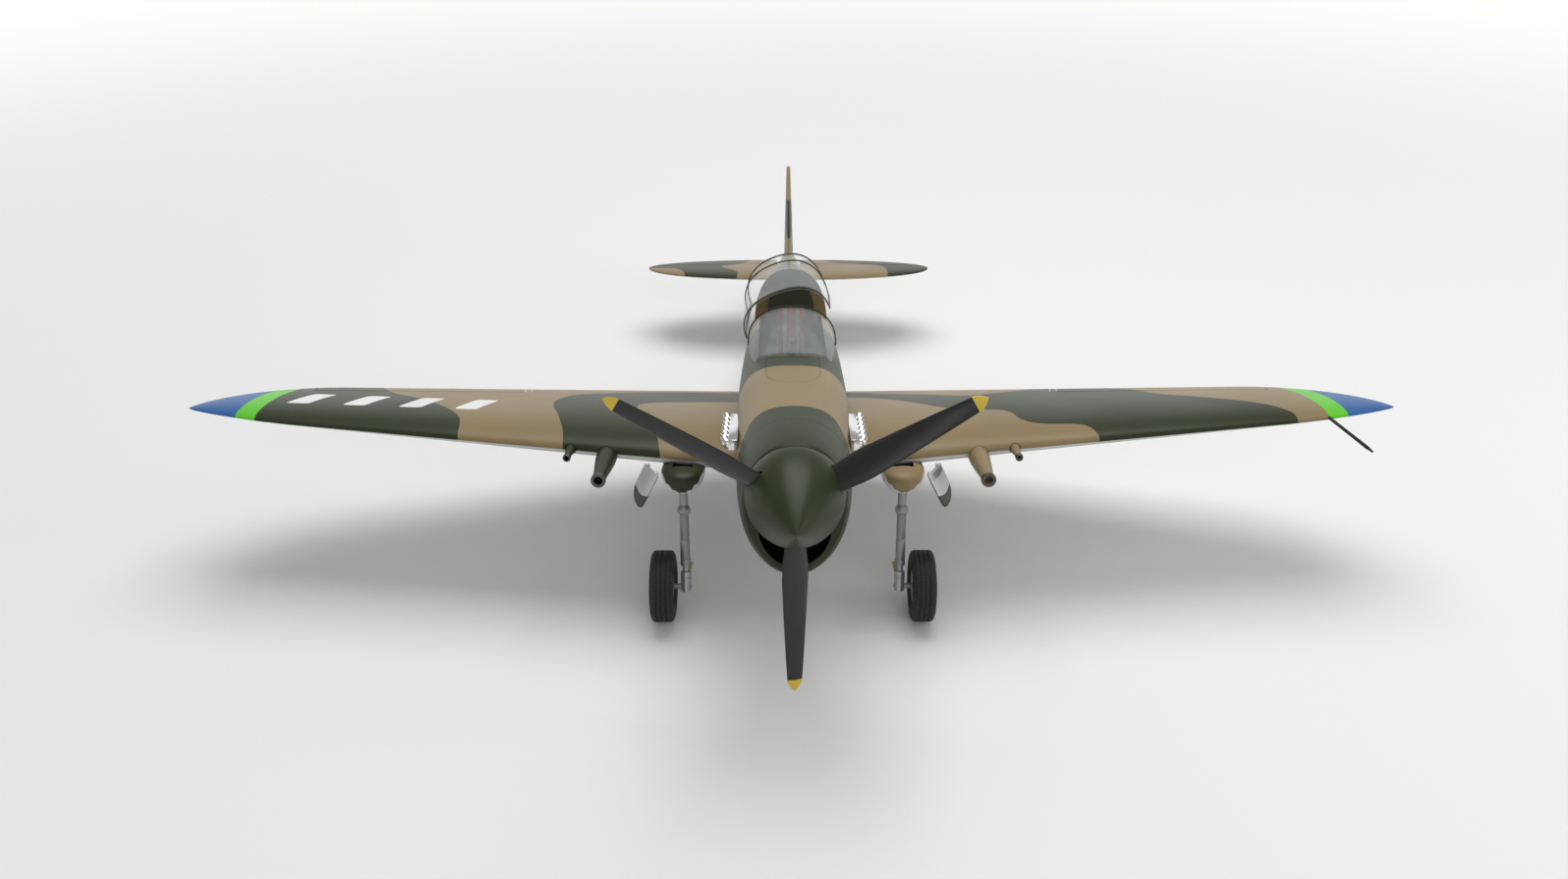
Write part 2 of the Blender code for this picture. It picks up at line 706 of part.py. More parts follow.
def wing_bm(side, grow=0.0):
    return loft([[(side * span, y, z) for y, z in wing_section(span, grow)] for span in WING_STATIONS])


def chord_point(side, span, share, height=0):
    """A point on the wing at a share of its chord: its middle (0), top (1) or bottom (-1)."""
    ring = wing_section(span)
    lead = min(y for y, z in ring)
    trail = max(y for y, z in ring)
    aft = blend(lead, trail, share)
    top = wing_height(span, aft, 1)
    bottom = wing_height(span, aft, -1)
    return Vector((side * span, aft, blend(bottom, top, (height + 1) / 2)))


def hinged_prism(start, end, outline, trim=0.0):
    """A prism along a hinge line; outline is (aft, up) from the line."""
    along = (end - start).normalized()
    up = Vector((0, 0, 1))
    aft = along.cross(up) if along.x < 0 else up.cross(along)
    aft.normalize()
    if aft.y < 0:
        aft.negate()
    rise = along.cross(aft)
    if rise.z < 0:
        rise.negate()
    rings = []
    for centre in (start + along * trim, end - along * trim):
        rings.append([centre + aft * a + rise * u for a, u in outline])
    return loft(rings)


def surface_outlines(bevel_deg):
    """Outlines of the bay in the fixed surface, and of the moving one with its bevelled nose."""
    back = DEEP * math.tan(math.radians(bevel_deg))
    bay = [(-HINGE_GAP / 2, -DEEP), (REACH, -DEEP), (REACH, DEEP), (-HINGE_GAP / 2, DEEP)]
    near = HINGE_GAP / 2
    moving = [(near, 0), (near + back, -DEEP), (REACH, -DEEP), (REACH, DEEP), (near + back, DEEP)]
    return bay, moving


hull_grown = cutter("body_outside", body_solid(COWL_BACK - 0.02, FUSELAGE_BACK + 0.01, GAP))
SIDES = (("left", 1), ("right", -1))
for name, side in SIDES:
    leg_x = side * LEG_X
    wing = node(f"wing_{name}", wing_bm(side), OLIVE)
    cut(wing, hull_grown)

    # Aileron and flap, each on a hinge empty at the middle or bottom of the cut.
    bay, moving = surface_outlines(BEVEL_DEG)
    start = chord_point(side, AILERON_IN, 1 - AILERON_CHORD)
    end = chord_point(side, AILERON_OUT, 1 - AILERON_CHORD)
    cut(wing, cutter(f"aileron_bay_{name}", hinged_prism(start, end, bay)))
    hinge = empty(f"aileron_hinge_{name}", start)
    aileron = node(f"aileron_{name}", wing_bm(side), OLIVE, hinge)
    boolean(aileron, "INTERSECT", cutter(f"aileron_keep_{name}", hinged_prism(start, end, moving, END_GAP)))

    flap_bay = [(-HINGE_GAP / 2, -DEEP), (REACH, -DEEP), (REACH, DEEP), (-HINGE_GAP / 2, DEEP)]
    flap_moving = [(HINGE_GAP / 2, -DEEP), (REACH, -DEEP), (REACH, DEEP), (HINGE_GAP / 2, DEEP)]
    start = chord_point(side, FLAP_IN, 1 - FLAP_CHORD, -1) - Vector((0, 0, 0.0005))
    end = chord_point(side, FLAP_OUT, 1 - FLAP_CHORD, -1) - Vector((0, 0, 0.0005))
    cut(wing, cutter(f"flap_bay_{name}", hinged_prism(start, end, flap_bay)))
    hinge = empty(f"flap_hinge_{name}", start)
    flap = node(f"flap_{name}", wing_bm(side), OLIVE, hinge)
    boolean(flap, "INTERSECT", cutter(f"flap_keep_{name}", hinged_prism(start, end, flap_moving, END_GAP)))

    # Wheel well, leg slot, retract bay, servo bay, spar bore and gun sockets.
    well_y = LEG_Y + WELL_AFT
    well = rod((side * WELL_X, well_y, -0.2), (side * WELL_X, well_y, WELL_TOP), WELL_R, 28)
    slot = box((leg_x - SLOT_HALF, 0.190, -0.12), (leg_x + SLOT_HALF, 0.3600, -0.0525))
    retract_bay = box((leg_x - SLOT_HALF, 0.1900, -0.12), (leg_x + SLOT_HALF, 0.2520, -0.0455))
    servo_at = chord_point(side, 0.4300, 0.42, -1)
    w, d, h = SERVO
    servo_low = servo_at + Vector((-w / 2, -d / 2, 0.0012))
    servo_high = servo_at + Vector((w / 2, d / 2, 0.0012 + h))
    room = Vector((GAP, GAP, GAP))
    servo_bay = box(servo_low - room - Vector((0, 0, 0.02)), servo_high + room)
    cut(wing, cutter(f"wheel_well_{name}", well), cutter(f"leg_slot_{name}", slot))
    cut(wing, cutter(f"retract_bay_{name}", retract_bay), cutter(f"servo_bay_{name}", servo_bay))
    cut(wing, joiner_cut)
    node(f"aileron_servo_{name}", box(servo_low, servo_high), CASE, None, False)
    for gun, x, z, radius, muzzle in (
        ("gun_large", GUN_X, GUN_Z, GUN_R, GUN_MUZZLE),
        ("gun_small", SMALL_GUN_X, SMALL_GUN_Z, SMALL_GUN_R, SMALL_GUN_MUZZLE),
    ):
        socket = LE_AT_ROOT + LE_SWEEP * x + GUN_DEPTH
        socket_r = (radius + GAP) / math.cos(math.pi / 12)
        socket_bm = rod((side * x, muzzle, z), (side * x, socket + GAP, z), socket_r, 12)
        cut(wing, cutter(f"{gun}_socket_{name}", socket_bm))
        neck = radius * 0.62
        lip = radius * 0.70
        profile = (
            (0.0, 0.0),
            (0.0, radius * 0.36),
            (-0.0100, radius * 0.36),
            (-0.0100, lip),
            (-0.0055, lip),
            (-0.0050, neck),
            (0.0060, neck),
            ((socket - muzzle) * 0.62, radius),
            (socket - muzzle - 0.010, radius),
            (socket - muzzle - 0.010, 0.0),
        )
        node(f"{gun}_{name}", turned(profile, (side * x, muzzle + 0.010, z), (0, 1, 0), 12), OLIVE)

    # Retract unit: a block with two cheeks that carry the trunnion pin.
    block = box((leg_x - CHEEK_OUT, 0.2180, -0.0700), (leg_x + CHEEK_OUT, 0.2500, -0.0458))
    unit = node(f"retract_unit_{name}", block, BLACK, None, False)
    for cheek, low, high in (("in", -CHEEK_OUT, -CHEEK_IN), ("out", CHEEK_IN, CHEEK_OUT)):
        lug = box((leg_x + low, 0.2030, -0.0680), (leg_x + high, 0.2200, -0.0458))
        boolean(unit, "UNION", cutter(f"retract_{cheek}_cheek_{name}", lug))
    pin_bore = rod((leg_x - 0.03, LEG_Y, PIVOT_Z), (leg_x + 0.03, LEG_Y, PIVOT_Z), PIN_R + GAP, 12)
    track = box((leg_x - CHEEK_IN, 0.2160, -0.12), (leg_x + CHEEK_IN, 0.3000, -0.0515))
    collar_room = KNUCKLE_R + 0.0014
    wide_track = box((leg_x - collar_room, 0.2205, -0.12), (leg_x + collar_room, 0.3000, -0.0515))
    cut(unit, cutter(f"retract_pin_bore_{name}", pin_bore), cutter(f"retract_track_{name}", track))
    cut(unit, cutter(f"retract_wide_track_{name}", wide_track))

    # Gear fairing: a bullet under the leading edge, slotted for the leg.
    bullet = []
    for k in range(9):
        share = (k / 8) ** 1.5
        if share < FAIRING_FULL:
            radius = FAIRING_R * math.sqrt(1 - (1 - share / FAIRING_FULL) ** 2)
        else:
            radius = FAIRING_R * math.cos((share - FAIRING_FULL) / (1 - FAIRING_FULL) * math.pi / 2) ** 0.8
        bullet.append((share * (FAIRING_BACK - FAIRING_NOSE), radius))
    bullet[0] = (0.0, 0.0)
    bullet[-1] = (FAIRING_BACK - FAIRING_NOSE, 0.0)
    pod = turned(bullet, (leg_x, FAIRING_NOSE, FAIRING_Z), (0, 1, 0), 16)
    for point in pod.verts:
        if point.co.z > FAIRING_Z:
            point.co.z = FAIRING_Z + (point.co.z - FAIRING_Z) * FAIRING_FLAT
    fairing = node(f"gear_fairing_{name}", pod, OLIVE)
    fairing_slot = box((leg_x - SLOT_HALF, 0.2025, -0.12), (leg_x + SLOT_HALF, 0.4, -0.0300))
    fairing_end = box((leg_x - 0.03, 0.2750, -0.12), (leg_x + 0.03, 0.4, 0.0))
    cut(fairing, cutter(f"fairing_slot_{name}", fairing_slot), cutter(f"fairing_end_{name}", fairing_end))
    cut(fairing, cutter(f"wing_outside_{name}", wing_bm(side, GAP)))

    # Main leg: trunnion, turning oleo cylinder, sliding piston, hub and tyre.
    retract = empty(f"gear_retract_{name}", (leg_x, LEG_Y, PIVOT_Z))
    eye = node(
        f"trunnion_{name}",
        rod((leg_x - 0.0058, LEG_Y, PIVOT_Z), (leg_x + 0.0058, LEG_Y, PIVOT_Z), EYE_R, 16),
        ALLOY,
        retract,
    )
    pin = rod((leg_x - 0.0100, LEG_Y, PIVOT_Z), (leg_x + 0.0100, LEG_Y, PIVOT_Z), PIN_R, 12)
    shank = rod((leg_x, LEG_Y, PIVOT_Z), (leg_x, LEG_Y, KNUCKLE_Z + 0.002), TRUNNION_R, 16)
    boolean(eye, "UNION", cutter(f"trunnion_pin_{name}", pin, retract))
    boolean(eye, "UNION", cutter(f"trunnion_shank_{name}", shank, retract))

    twist = empty(f"gear_twist_{name}", (leg_x, LEG_Y, KNUCKLE_Z), retract)
    cylinder_profile = (
        (KNUCKLE_Z + 0.002 - GAP, 0.0),
        (KNUCKLE_Z + 0.002 - GAP, TRUNNION_R),
        (KNUCKLE_Z - 0.002, KNUCKLE_R),
        (KNUCKLE_Z - 0.007, KNUCKLE_R),
        (KNUCKLE_Z - 0.009, CYLINDER_R),
        (CYLINDER_END, CYLINDER_R),
        (CYLINDER_END, PISTON_R + GAP),
        (KNUCKLE_Z - 0.030, PISTON_R + GAP),
        (KNUCKLE_Z - 0.030, 0.0),
    )
    node(
        f"oleo_cylinder_{name}",
        turned([(z, r) for z, r in reversed(cylinder_profile)], (leg_x, LEG_Y, 0), (0, 0, 1), 16),
        ALLOY,
        twist,
    )
    slide = empty(f"oleo_slide_{name}", (leg_x, LEG_Y, CYLINDER_END), twist)
    foot_top = CYLINDER_END - OLEO_TRAVEL - 2 * GAP
    piston_profile = (
        (AXLE_Z - 0.0060, 0.0),
        (AXLE_Z - 0.0060, FOOT_R),
        (foot_top, FOOT_R),
        (foot_top, PISTON_R),
        (KNUCKLE_Z - 0.030 - OLEO_TRAVEL - GAP, PISTON_R),
        (KNUCKLE_Z - 0.030 - OLEO_TRAVEL - GAP, 0.0),
    )
    piston = node(
        f"oleo_piston_{name}",
        turned(piston_profile, (leg_x, LEG_Y, 0), (0, 0, 1), 16),
        ALLOY,
        slide,
    )
    wheel_x = side * WHEEL_X
    axle_end = wheel_x + side * (HUB_W / 2 - 0.002)
    axle = rod((leg_x, LEG_Y, AXLE_Z), (axle_end, LEG_Y, AXLE_Z), AXLE_R, 12)
    boolean(piston, "UNION", cutter(f"axle_{name}", axle, slide))
    spin = empty(f"wheel_spin_{name}", (wheel_x, LEG_Y, AXLE_Z), slide)
    hub_half = HUB_W / 2
    hub_profile = (
        (-hub_half, AXLE_R + GAP),
        (-hub_half, HUB_R),
        (hub_half, HUB_R),
        (hub_half, HUB_R - 0.0020),
        (0.0040, HUB_R - 0.0030),
        (0.0040, 0.0100),
        (hub_half, 0.0080),
        (hub_half, AXLE_R + GAP),
    )
    hub_bm = turned(hub_profile, (wheel_x, LEG_Y, AXLE_Z), (side, 0, 0), TYRE_SIDES)
    node(f"wheel_hub_{name}", hub_bm, ALLOY, spin)
    tyre_half = TYRE_W / 2
    tyre_profile = (
        (-HUB_W / 2, HUB_R + GAP),
        (-tyre_half, HUB_R + 0.0040),
        (-tyre_half, TYRE_R - 0.0070),
        (-tyre_half + 0.0050, TYRE_R - TREAD_DROP),
        (tyre_half - 0.0050, TYRE_R - TREAD_DROP),
        (tyre_half, TYRE_R - 0.0070),
        (tyre_half, HUB_R + 0.0040),
        (HUB_W / 2, HUB_R + GAP),
    )
    tyre = turned(tyre_profile, (0, 0, 0), (1, 0, 0), TYRE_SIDES, math.pi / TYRE_SIDES)
    bmesh.ops.rotate(tyre, cent=(0, 0, 0), matrix=Matrix.Rotation(LEAN, 3, "X"), verts=tyre.verts)
    bmesh.ops.translate(tyre, vec=(wheel_x, LEG_Y, AXLE_Z), verts=tyre.verts)
    node(f"tyre_{name}", tyre, RUBBER, spin)

    # Gear door: a curved leaf hung outboard of the leg.
    door_hinge = empty(f"door_hinge_{name}", (side * DOOR_X, DOOR_FRONT, DOOR_Z))
    inner = []
    outer_line = []
    for k in range(9):
        share = k / 8
        x = DOOR_X + DOOR_OUT * math.sin(share * math.pi / 2) ** 1.2
        z = DOOR_Z - 0.0010 - DOOR_DROP * share
        inner.append((x, z))
        outer_line.append((x + DOOR_T, z))
    leaf = inner + list(reversed(outer_line))
    ends = ((0, DOOR_FRONT), (DOOR_TOE * (DOOR_BACK - DOOR_FRONT), DOOR_BACK))
    leaf_bm = loft([[(side * (x + toe), y, z) for x, z in leaf] for toe, y in ends])
    node(f"gear_door_{name}", leaf_bm, BELLY, door_hinge)

spar_profile = (
    (-SPAR_HALF, SPAR_R - SPAR_WALL),
    (-SPAR_HALF, SPAR_R),
    (SPAR_HALF, SPAR_R),
    (SPAR_HALF, SPAR_R - SPAR_WALL),
)
node("wing_spar_tube", turned(spar_profile, (0, SPAR_Y, SPAR_Z), (1, 0, 0), 16), CARBON)
pitot_z = chord_point(1, PITOT_X, 0.06).z
pitot_root = LE_AT_ROOT + LE_SWEEP * PITOT_X + 0.020
pitot_bore = rod((PITOT_X, 0.2, pitot_z), (PITOT_X, pitot_root + GAP, pitot_z), PITOT_R + GAP, 14)
cut(bpy.data.objects["wing_left"], cutter("pitot_socket", pitot_bore))
node("pitot_tube", rod((PITOT_X, PITOT_TIP, pitot_z), (PITOT_X, pitot_root, pitot_z), PITOT_R, 14), BLACK)


# Exhaust stacks: a manifold strip on each side of the nose with swept stubs.
for name, side in SIDES:
    strip = box((-0.0050, EXHAUST_FRONT, EXHAUST_Z - 0.0060), (0.0050, EXHAUST_BACK, EXHAUST_Z + 0.0060))
    bmesh.ops.translate(strip, vec=(side * (EXHAUST_X - 0.0010), 0, 0), verts=strip.verts)
    stack = node(f"exhaust_stack_{name}", strip, CHROME, None, False)
    pitch = (EXHAUST_BACK - EXHAUST_FRONT) / STUBS
    for k in range(STUBS):
        aft = EXHAUST_FRONT + (k + 0.3) * pitch
        foot = (side * (EXHAUST_X - 0.0020), aft, EXHAUST_Z)
        tip = (side * (EXHAUST_X + 0.0090), aft + pitch * 0.55, EXHAUST_Z + 0.0040)
        boolean(stack, "UNION", cutter(f"stub_{name}_{k + 1}", rod(foot, tip, STUB_R, 10)))
    cut(stack, hull_grown)

# Tail: stabilizer with the elevator, fin with the rudder.
def stab_section(span, grow=0.0, points=7):
    past = min(0.999, abs(span) / STAB_SPAN)
    shrink = math.sqrt(1 - past**2.3)
    lead = blend(STAB_TIP_Y, STAB_LE, shrink) - grow
    trail = blend(STAB_TIP_Y, STAB_TE, shrink) + grow
    thick = STAB_THICK / 2 * max(0.12, shrink)
    ring = []
    for k in range(points + 1):
        share = (1 - math.cos(math.pi * k / points)) / 2
        height = thick * (1 - (2 * share**0.62 - 1) ** 2) + 0.0006 + grow
        ring.append((blend(lead, trail, share), height))
    upper = [(y, STAB_Z + h) for y, h in reversed(ring)]
    lower = [(y, STAB_Z - h) for y, h in ring]
    return upper + lower


STAB_STATIONS = [0.0, 0.0500, 0.1000, 0.1400, 0.1750, 0.2000, 0.2170, 0.2260, STAB_SPAN]
STAB_STATIONS = [-x for x in reversed(STAB_STATIONS[1:])] + STAB_STATIONS


def stab_bm(grow=0.0):
    return loft([[(x, y, z) for y, z in stab_section(x, grow)] for x in STAB_STATIONS])


tail_body = cutter("tail_body_outside", body_solid(0.8000, FUSELAGE_BACK + 0.0006, GAP))
stabilizer = node("stabilizer", stab_bm(), OLIVE)
bay, moving = surface_outlines(BEVEL_DEG)
start = Vector((-STAB_SPAN - 0.02, ELEVATOR_Y, STAB_Z))
end = Vector((STAB_SPAN + 0.02, ELEVATOR_Y, STAB_Z))
cut(stabilizer, cutter("elevator_bay", hinged_prism(start, end, bay)))
cut(bpy.data.objects["fuselage"], cutter("stab_slot_body", stab_bm(GAP)))
elevator_axis = empty("elevator_hinge", (0, ELEVATOR_Y, STAB_Z))
elevator = node("elevator", stab_bm(), OLIVE, elevator_axis)
boolean(elevator, "INTERSECT", cutter("elevator_keep", hinged_prism(start, end, moving)))
elevator_middle = box((-ELEVATOR_IN, 0.9, -0.02), (ELEVATOR_IN, 1.2, 0.06))
cut(elevator, cutter("elevator_gap", elevator_middle))
torque = rod((-0.030, ELEVATOR_Y, STAB_Z), (0.030, ELEVATOR_Y, STAB_Z), TORQUE_ROD_R, 12)
for side in (-1, 1):
    low = (side * HORN_X - HORN_HALF, ELEVATOR_Y - 0.0010, STAB_Z - 0.0016)
    high = (side * HORN_X + HORN_HALF, ELEVATOR_Y + 0.0140, STAB_Z + 0.0016)
    horn = box(low, high)
    boolean(elevator, "UNION", cutter(f"torque_horn_{side}", horn, elevator_axis))
boolean(elevator, "UNION", cutter("torque_rod", torque, elevator_axis))
rod_room = rod((-0.045, ELEVATOR_Y, STAB_Z), (0.045, ELEVATOR_Y, STAB_Z), TORQUE_ROD_R + 2 * GAP, 12)
cut(stabilizer, cutter("torque_rod_room", rod_room))


def fin_ring(height, grow=0.0, points=8):
    """The vertical tail's section at a height."""
    share = (height - FIN_BASE_Z) / (FIN_TOP - FIN_BASE_Z)
    up = min(0.999, max(0.0, share))
    lead = blend(FIN_LE, FIN_TOP_Y, 1 - (1 - up**1.15) ** 0.62 if up < 0.999 else 1.0) - grow
    if share >= 0:
        trail = blend(RUDDER_TE, FIN_TOP_Y + 0.004, 1 - math.sqrt(1 - up**2.6)) + grow
    else:
        down = min(1.0, (FIN_BASE_Z - height) / (FIN_BASE_Z - RUDDER_BOTTOM))
        trail = blend(RUDDER_TE, RUDDER_Y + 0.030, down**2) + grow
    thick = FIN_THICK / 2 * blend(1.0, 0.35, up)
    ring = []
    for k in range(points + 1):
        share = (1 - math.cos(math.pi * k / points)) / 2
        width = thick * (1 - (2 * share**0.62 - 1) ** 2) + 0.0006 + grow
        ring.append((blend(lead, trail, share), width))
    left = [(w, y, height) for y, w in reversed(ring)]
    right = [(-w, y, height) for y, w in ring]
    return left + right


FIN_STATIONS = [RUDDER_BOTTOM, 0.0050, FIN_BASE_Z, 0.0550, 0.0850, 0.1150, 0.1400, 0.1600, 0.1730, FIN_TOP]
fin = node("fin", loft([fin_ring(z) for z in FIN_STATIONS]), OLIVE)
fin_back = box((-0.05, RUDDER_Y - HINGE_GAP / 2, -0.1), (0.05, 1.3, 0.3))
cut(fin, cutter("fin_back", fin_back), tail_body)
cut(fin, cutter("fin_low", box((-0.05, 0.8, -0.1), (0.05, 1.3, 0.0400))))
rudder_axis = empty("rudder_hinge", (0, RUDDER_Y, 0.05))
rudder = node("rudder", loft([fin_ring(z) for z in FIN_STATIONS]), OLIVE, rudder_axis)
nose = RUDDER_Y + HINGE_GAP / 2
back = WIDE * math.tan(math.radians(RUDDER_BEVEL_DEG))
wedge = [(0, nose), (WIDE, nose + back), (WIDE, 1.2), (-WIDE, 1.2), (-WIDE, nose + back)]
rudder_keep = cutter("rudder_keep", prism(wedge, -0.1, 0.3))
boolean(rudder, "INTERSECT", rudder_keep)

# Tail wheel: steered leg and fork, free wheel.
steer = empty("tail_steer", (0, TAIL_LEG_Y, -0.0300))
tail_leg = node(
    "tail_leg", rod((0, TAIL_LEG_Y, FORK_TOP), (0, TAIL_LEG_Y, TAIL_LEG_TOP), TAIL_LEG_R, 12), STEEL, steer
)
crown_low = (-0.0090, TAIL_LEG_Y - 0.0040, FORK_TOP - 0.0040)
crown = box(crown_low, (0.0090, TAIL_LEG_Y + 0.0080, FORK_TOP + 0.0010))
boolean(tail_leg, "UNION", cutter("tail_fork_crown", crown, steer))
cheek_in = TAIL_WHEEL_W / 2 + FORK_GAP
for side in (-1, 1):
    outline = [
        (TAIL_LEG_Y - 0.0040, FORK_TOP),
        (TAIL_LEG_Y + 0.0080, FORK_TOP),
        (TAIL_AXLE_Y + 0.0050, TAIL_AXLE_Z - 0.0010),
        (TAIL_AXLE_Y, TAIL_AXLE_Z - 0.0050),
        (TAIL_AXLE_Y - 0.0060, TAIL_AXLE_Z - 0.0010),
    ]
    low_x = side * cheek_in
    high_x = side * (cheek_in + FORK_T)
    cheek = loft([[(x, y, z) for y, z in outline] for x in (low_x, high_x)])
    boolean(tail_leg, "UNION", cutter(f"tail_fork_cheek_{side}", cheek, steer))
pin_end = Vector((cheek_in + 0.0010, 0, 0))
tail_centre = Vector((0, TAIL_AXLE_Y, TAIL_AXLE_Z))
pin = rod(tail_centre - pin_end, tail_centre + pin_end, PIN_R, 14)
boolean(tail_leg, "UNION", cutter("tail_axle", pin, steer))
tail_spin = empty("tail_wheel_spin", (0, TAIL_AXLE_Y, TAIL_AXLE_Z), steer)
half = TAIL_WHEEL_W / 2
tail_profile = (
    (-half, PIN_R + GAP),
    (-half, TAIL_WHEEL_R - 0.0030),
    (-half + 0.0025, TAIL_WHEEL_R),
    (half - 0.0025, TAIL_WHEEL_R),
    (half, TAIL_WHEEL_R - 0.0030),
    (half, PIN_R + GAP),
)
tail_wheel = turned(tail_profile, (0, 0, 0), (1, 0, 0), TAIL_SIDES, math.pi / TAIL_SIDES)
tilt = Matrix.Rotation(LEAN, 3, "X")
bmesh.ops.rotate(tail_wheel, cent=(0, 0, 0), matrix=tilt, verts=tail_wheel.verts)
bmesh.ops.translate(tail_wheel, vec=(0, TAIL_AXLE_Y, TAIL_AXLE_Z), verts=tail_wheel.verts)
node("tail_wheel", tail_wheel, RUBBER, tail_spin)

# Glazing: fixed windscreen and side-hinged hood, standing open.
screen_stations = (
    (SCREEN_FRONT, 0.0440, 0.0640),
    (0.3250, 0.0490, 0.0860),
    (SCREEN_BACK, CANOPY_HALF, SCREEN_TOP),
)
windscreen = node("windscreen", arch_solid(screen_stations, SILL_Z), CLEAR)
inner_stations = (
    (SCREEN_FRONT + 0.002, 0.0425, 0.0625),
    (0.3250, 0.0480, 0.0850),
    (SCREEN_BACK + 0.01, CANOPY_HALF - GLASS_T, SCREEN_TOP),
)
cut(windscreen, cutter("windscreen_inside", arch_solid(inner_stations, SILL_Z, 0.0, 0.02)))
body_grown = cutter("body_under_glass", body_solid(0.2400, 0.6400, GAP))
cut(windscreen, body_grown)

open_turn = math.radians(CANOPY_OPEN_DEG)
hood_axis = empty("canopy_hinge", (-CANOPY_HALF - 0.0020, SCREEN_BACK, SILL_Z + 0.0060))
hood_axis.rotation_euler.y = -open_turn
hood_front = SCREEN_BACK + 0.0010
hood_back = CANOPY_BACK
HOOD = (
    (hood_front, CANOPY_HALF, SCREEN_TOP),
    (blend(hood_front, hood_back, 0.33), CANOPY_HALF + 0.0015, 0.1085),
    (blend(hood_front, hood_back, 0.67), CANOPY_HALF, 0.1115),
    (hood_back, CANOPY_HALF - 0.0030, CANOPY_TOP),
)
HOOD_INNER = ((hood_front - 0.01, *HOOD[0][1:]),) + HOOD[1:3] + ((hood_back + 0.01, *HOOD[3][1:]),)
hood_foot = SILL_Z + 0.0090
hood = node("canopy_glass", arch_solid(HOOD, hood_foot), CLEAR, hood_axis)
cut(hood, cutter("canopy_inside", arch_solid(HOOD_INNER, hood_foot, -GLASS_T, 0.02), hood_axis))
frame = node("canopy_frame", arch_solid(HOOD, hood_foot, GAP + FRAME_T), OLIVE, hood_axis)
cut(frame, cutter("canopy_frame_inside", arch_solid(HOOD_INNER, hood_foot, GAP, 0.02), hood_axis))
panes = box((-0.2, hood_front + BOW_WIDTH, hood_foot + RAIL_HEIGHT), (0.2, hood_back - BOW_WIDTH, 0.3))
cut(frame, cutter("canopy_frame_panes", panes, hood_axis))

# Cockpit: tub, seat and instrument panel.
tub_front = SCREEN_FRONT + 0.0080
tub_back = CANOPY_BACK - 0.0080
tub_half = COCKPIT_HALF - 2 * GAP
tub = node(
    "cockpit_tub", box((-tub_half, tub_front, TUB_FLOOR), (tub_half, tub_back, 0.0500)), OLIVE, None, False
)
tub_inside = tub_half - TUB_WALL
floor = TUB_FLOOR + TUB_WALL
tub_room = box((-tub_inside, tub_front + TUB_WALL, floor), (tub_inside, tub_back - TUB_WALL, HIGH))
cut(tub, cutter("tub_room", tub_room))
floor += GAP
panel_outline = [(-PANEL_HALF, PANEL_LOW), (PANEL_HALF, PANEL_LOW), (PANEL_HALF, PANEL_HIGH)]
for k in range(1, 8):
    angle = math.pi * k / 8
    panel_outline.append((PANEL_HALF * math.cos(angle), PANEL_HIGH + PANEL_CROWN * math.sin(angle)))
panel_outline.append((-PANEL_HALF, PANEL_HIGH))
panel_y = tub_front + TUB_WALL + GAP
node(
    "instrument_panel",
    loft([[(x, y, z) for x, z in panel_outline] for y in (panel_y, panel_y + 0.0030)]),
    BLACK,
    None,
    False,
)
cushion = box((-SEAT_HALF, SEAT_FRONT, floor), (SEAT_HALF, SEAT_BACK - 0.0040, CUSHION_TOP))
seat = node("seat", cushion, RED, None, False)
seat_back = box((-SEAT_HALF, SEAT_BACK - 0.0080, floor), (SEAT_HALF, SEAT_BACK, SEAT_TOP))
boolean(seat, "UNION", cutter("seat_back", seat_back))

# Flight gear inside the fuselage: each a block, placed by its middle, front and bottom.
for name, size, at, stuff in (
    ("battery", BATTERY, BATTERY_AT, CASE),
    ("speed_controller", CONTROLLER, CONTROLLER_AT, BLACK),
    ("receiver", RECEIVER, RECEIVER_AT, BLACK),
    ("elevator_servo", SERVO, (TAIL_SERVO_X, TAIL_SERVO_Y, TAIL_SERVO_Z), CASE),
    ("rudder_servo", SERVO, (-TAIL_SERVO_X, TAIL_SERVO_Y, TAIL_SERVO_Z), CASE),
):
    low = (at[0] - size[0] / 2, at[1], at[2])
    high = (at[0] + size[0] / 2, at[1] + size[1], at[2] + size[2])
    node(name, box(low, high), stuff, None, False)

# Set the model on the ground: wheels down, middle of its length over the origin.
AIRFRAME.location = (0, -ORIGIN_AFT, -GROUND)
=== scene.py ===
import json
import math

import bmesh
import bpy
import numpy as np
from mathutils import Matrix, Vector


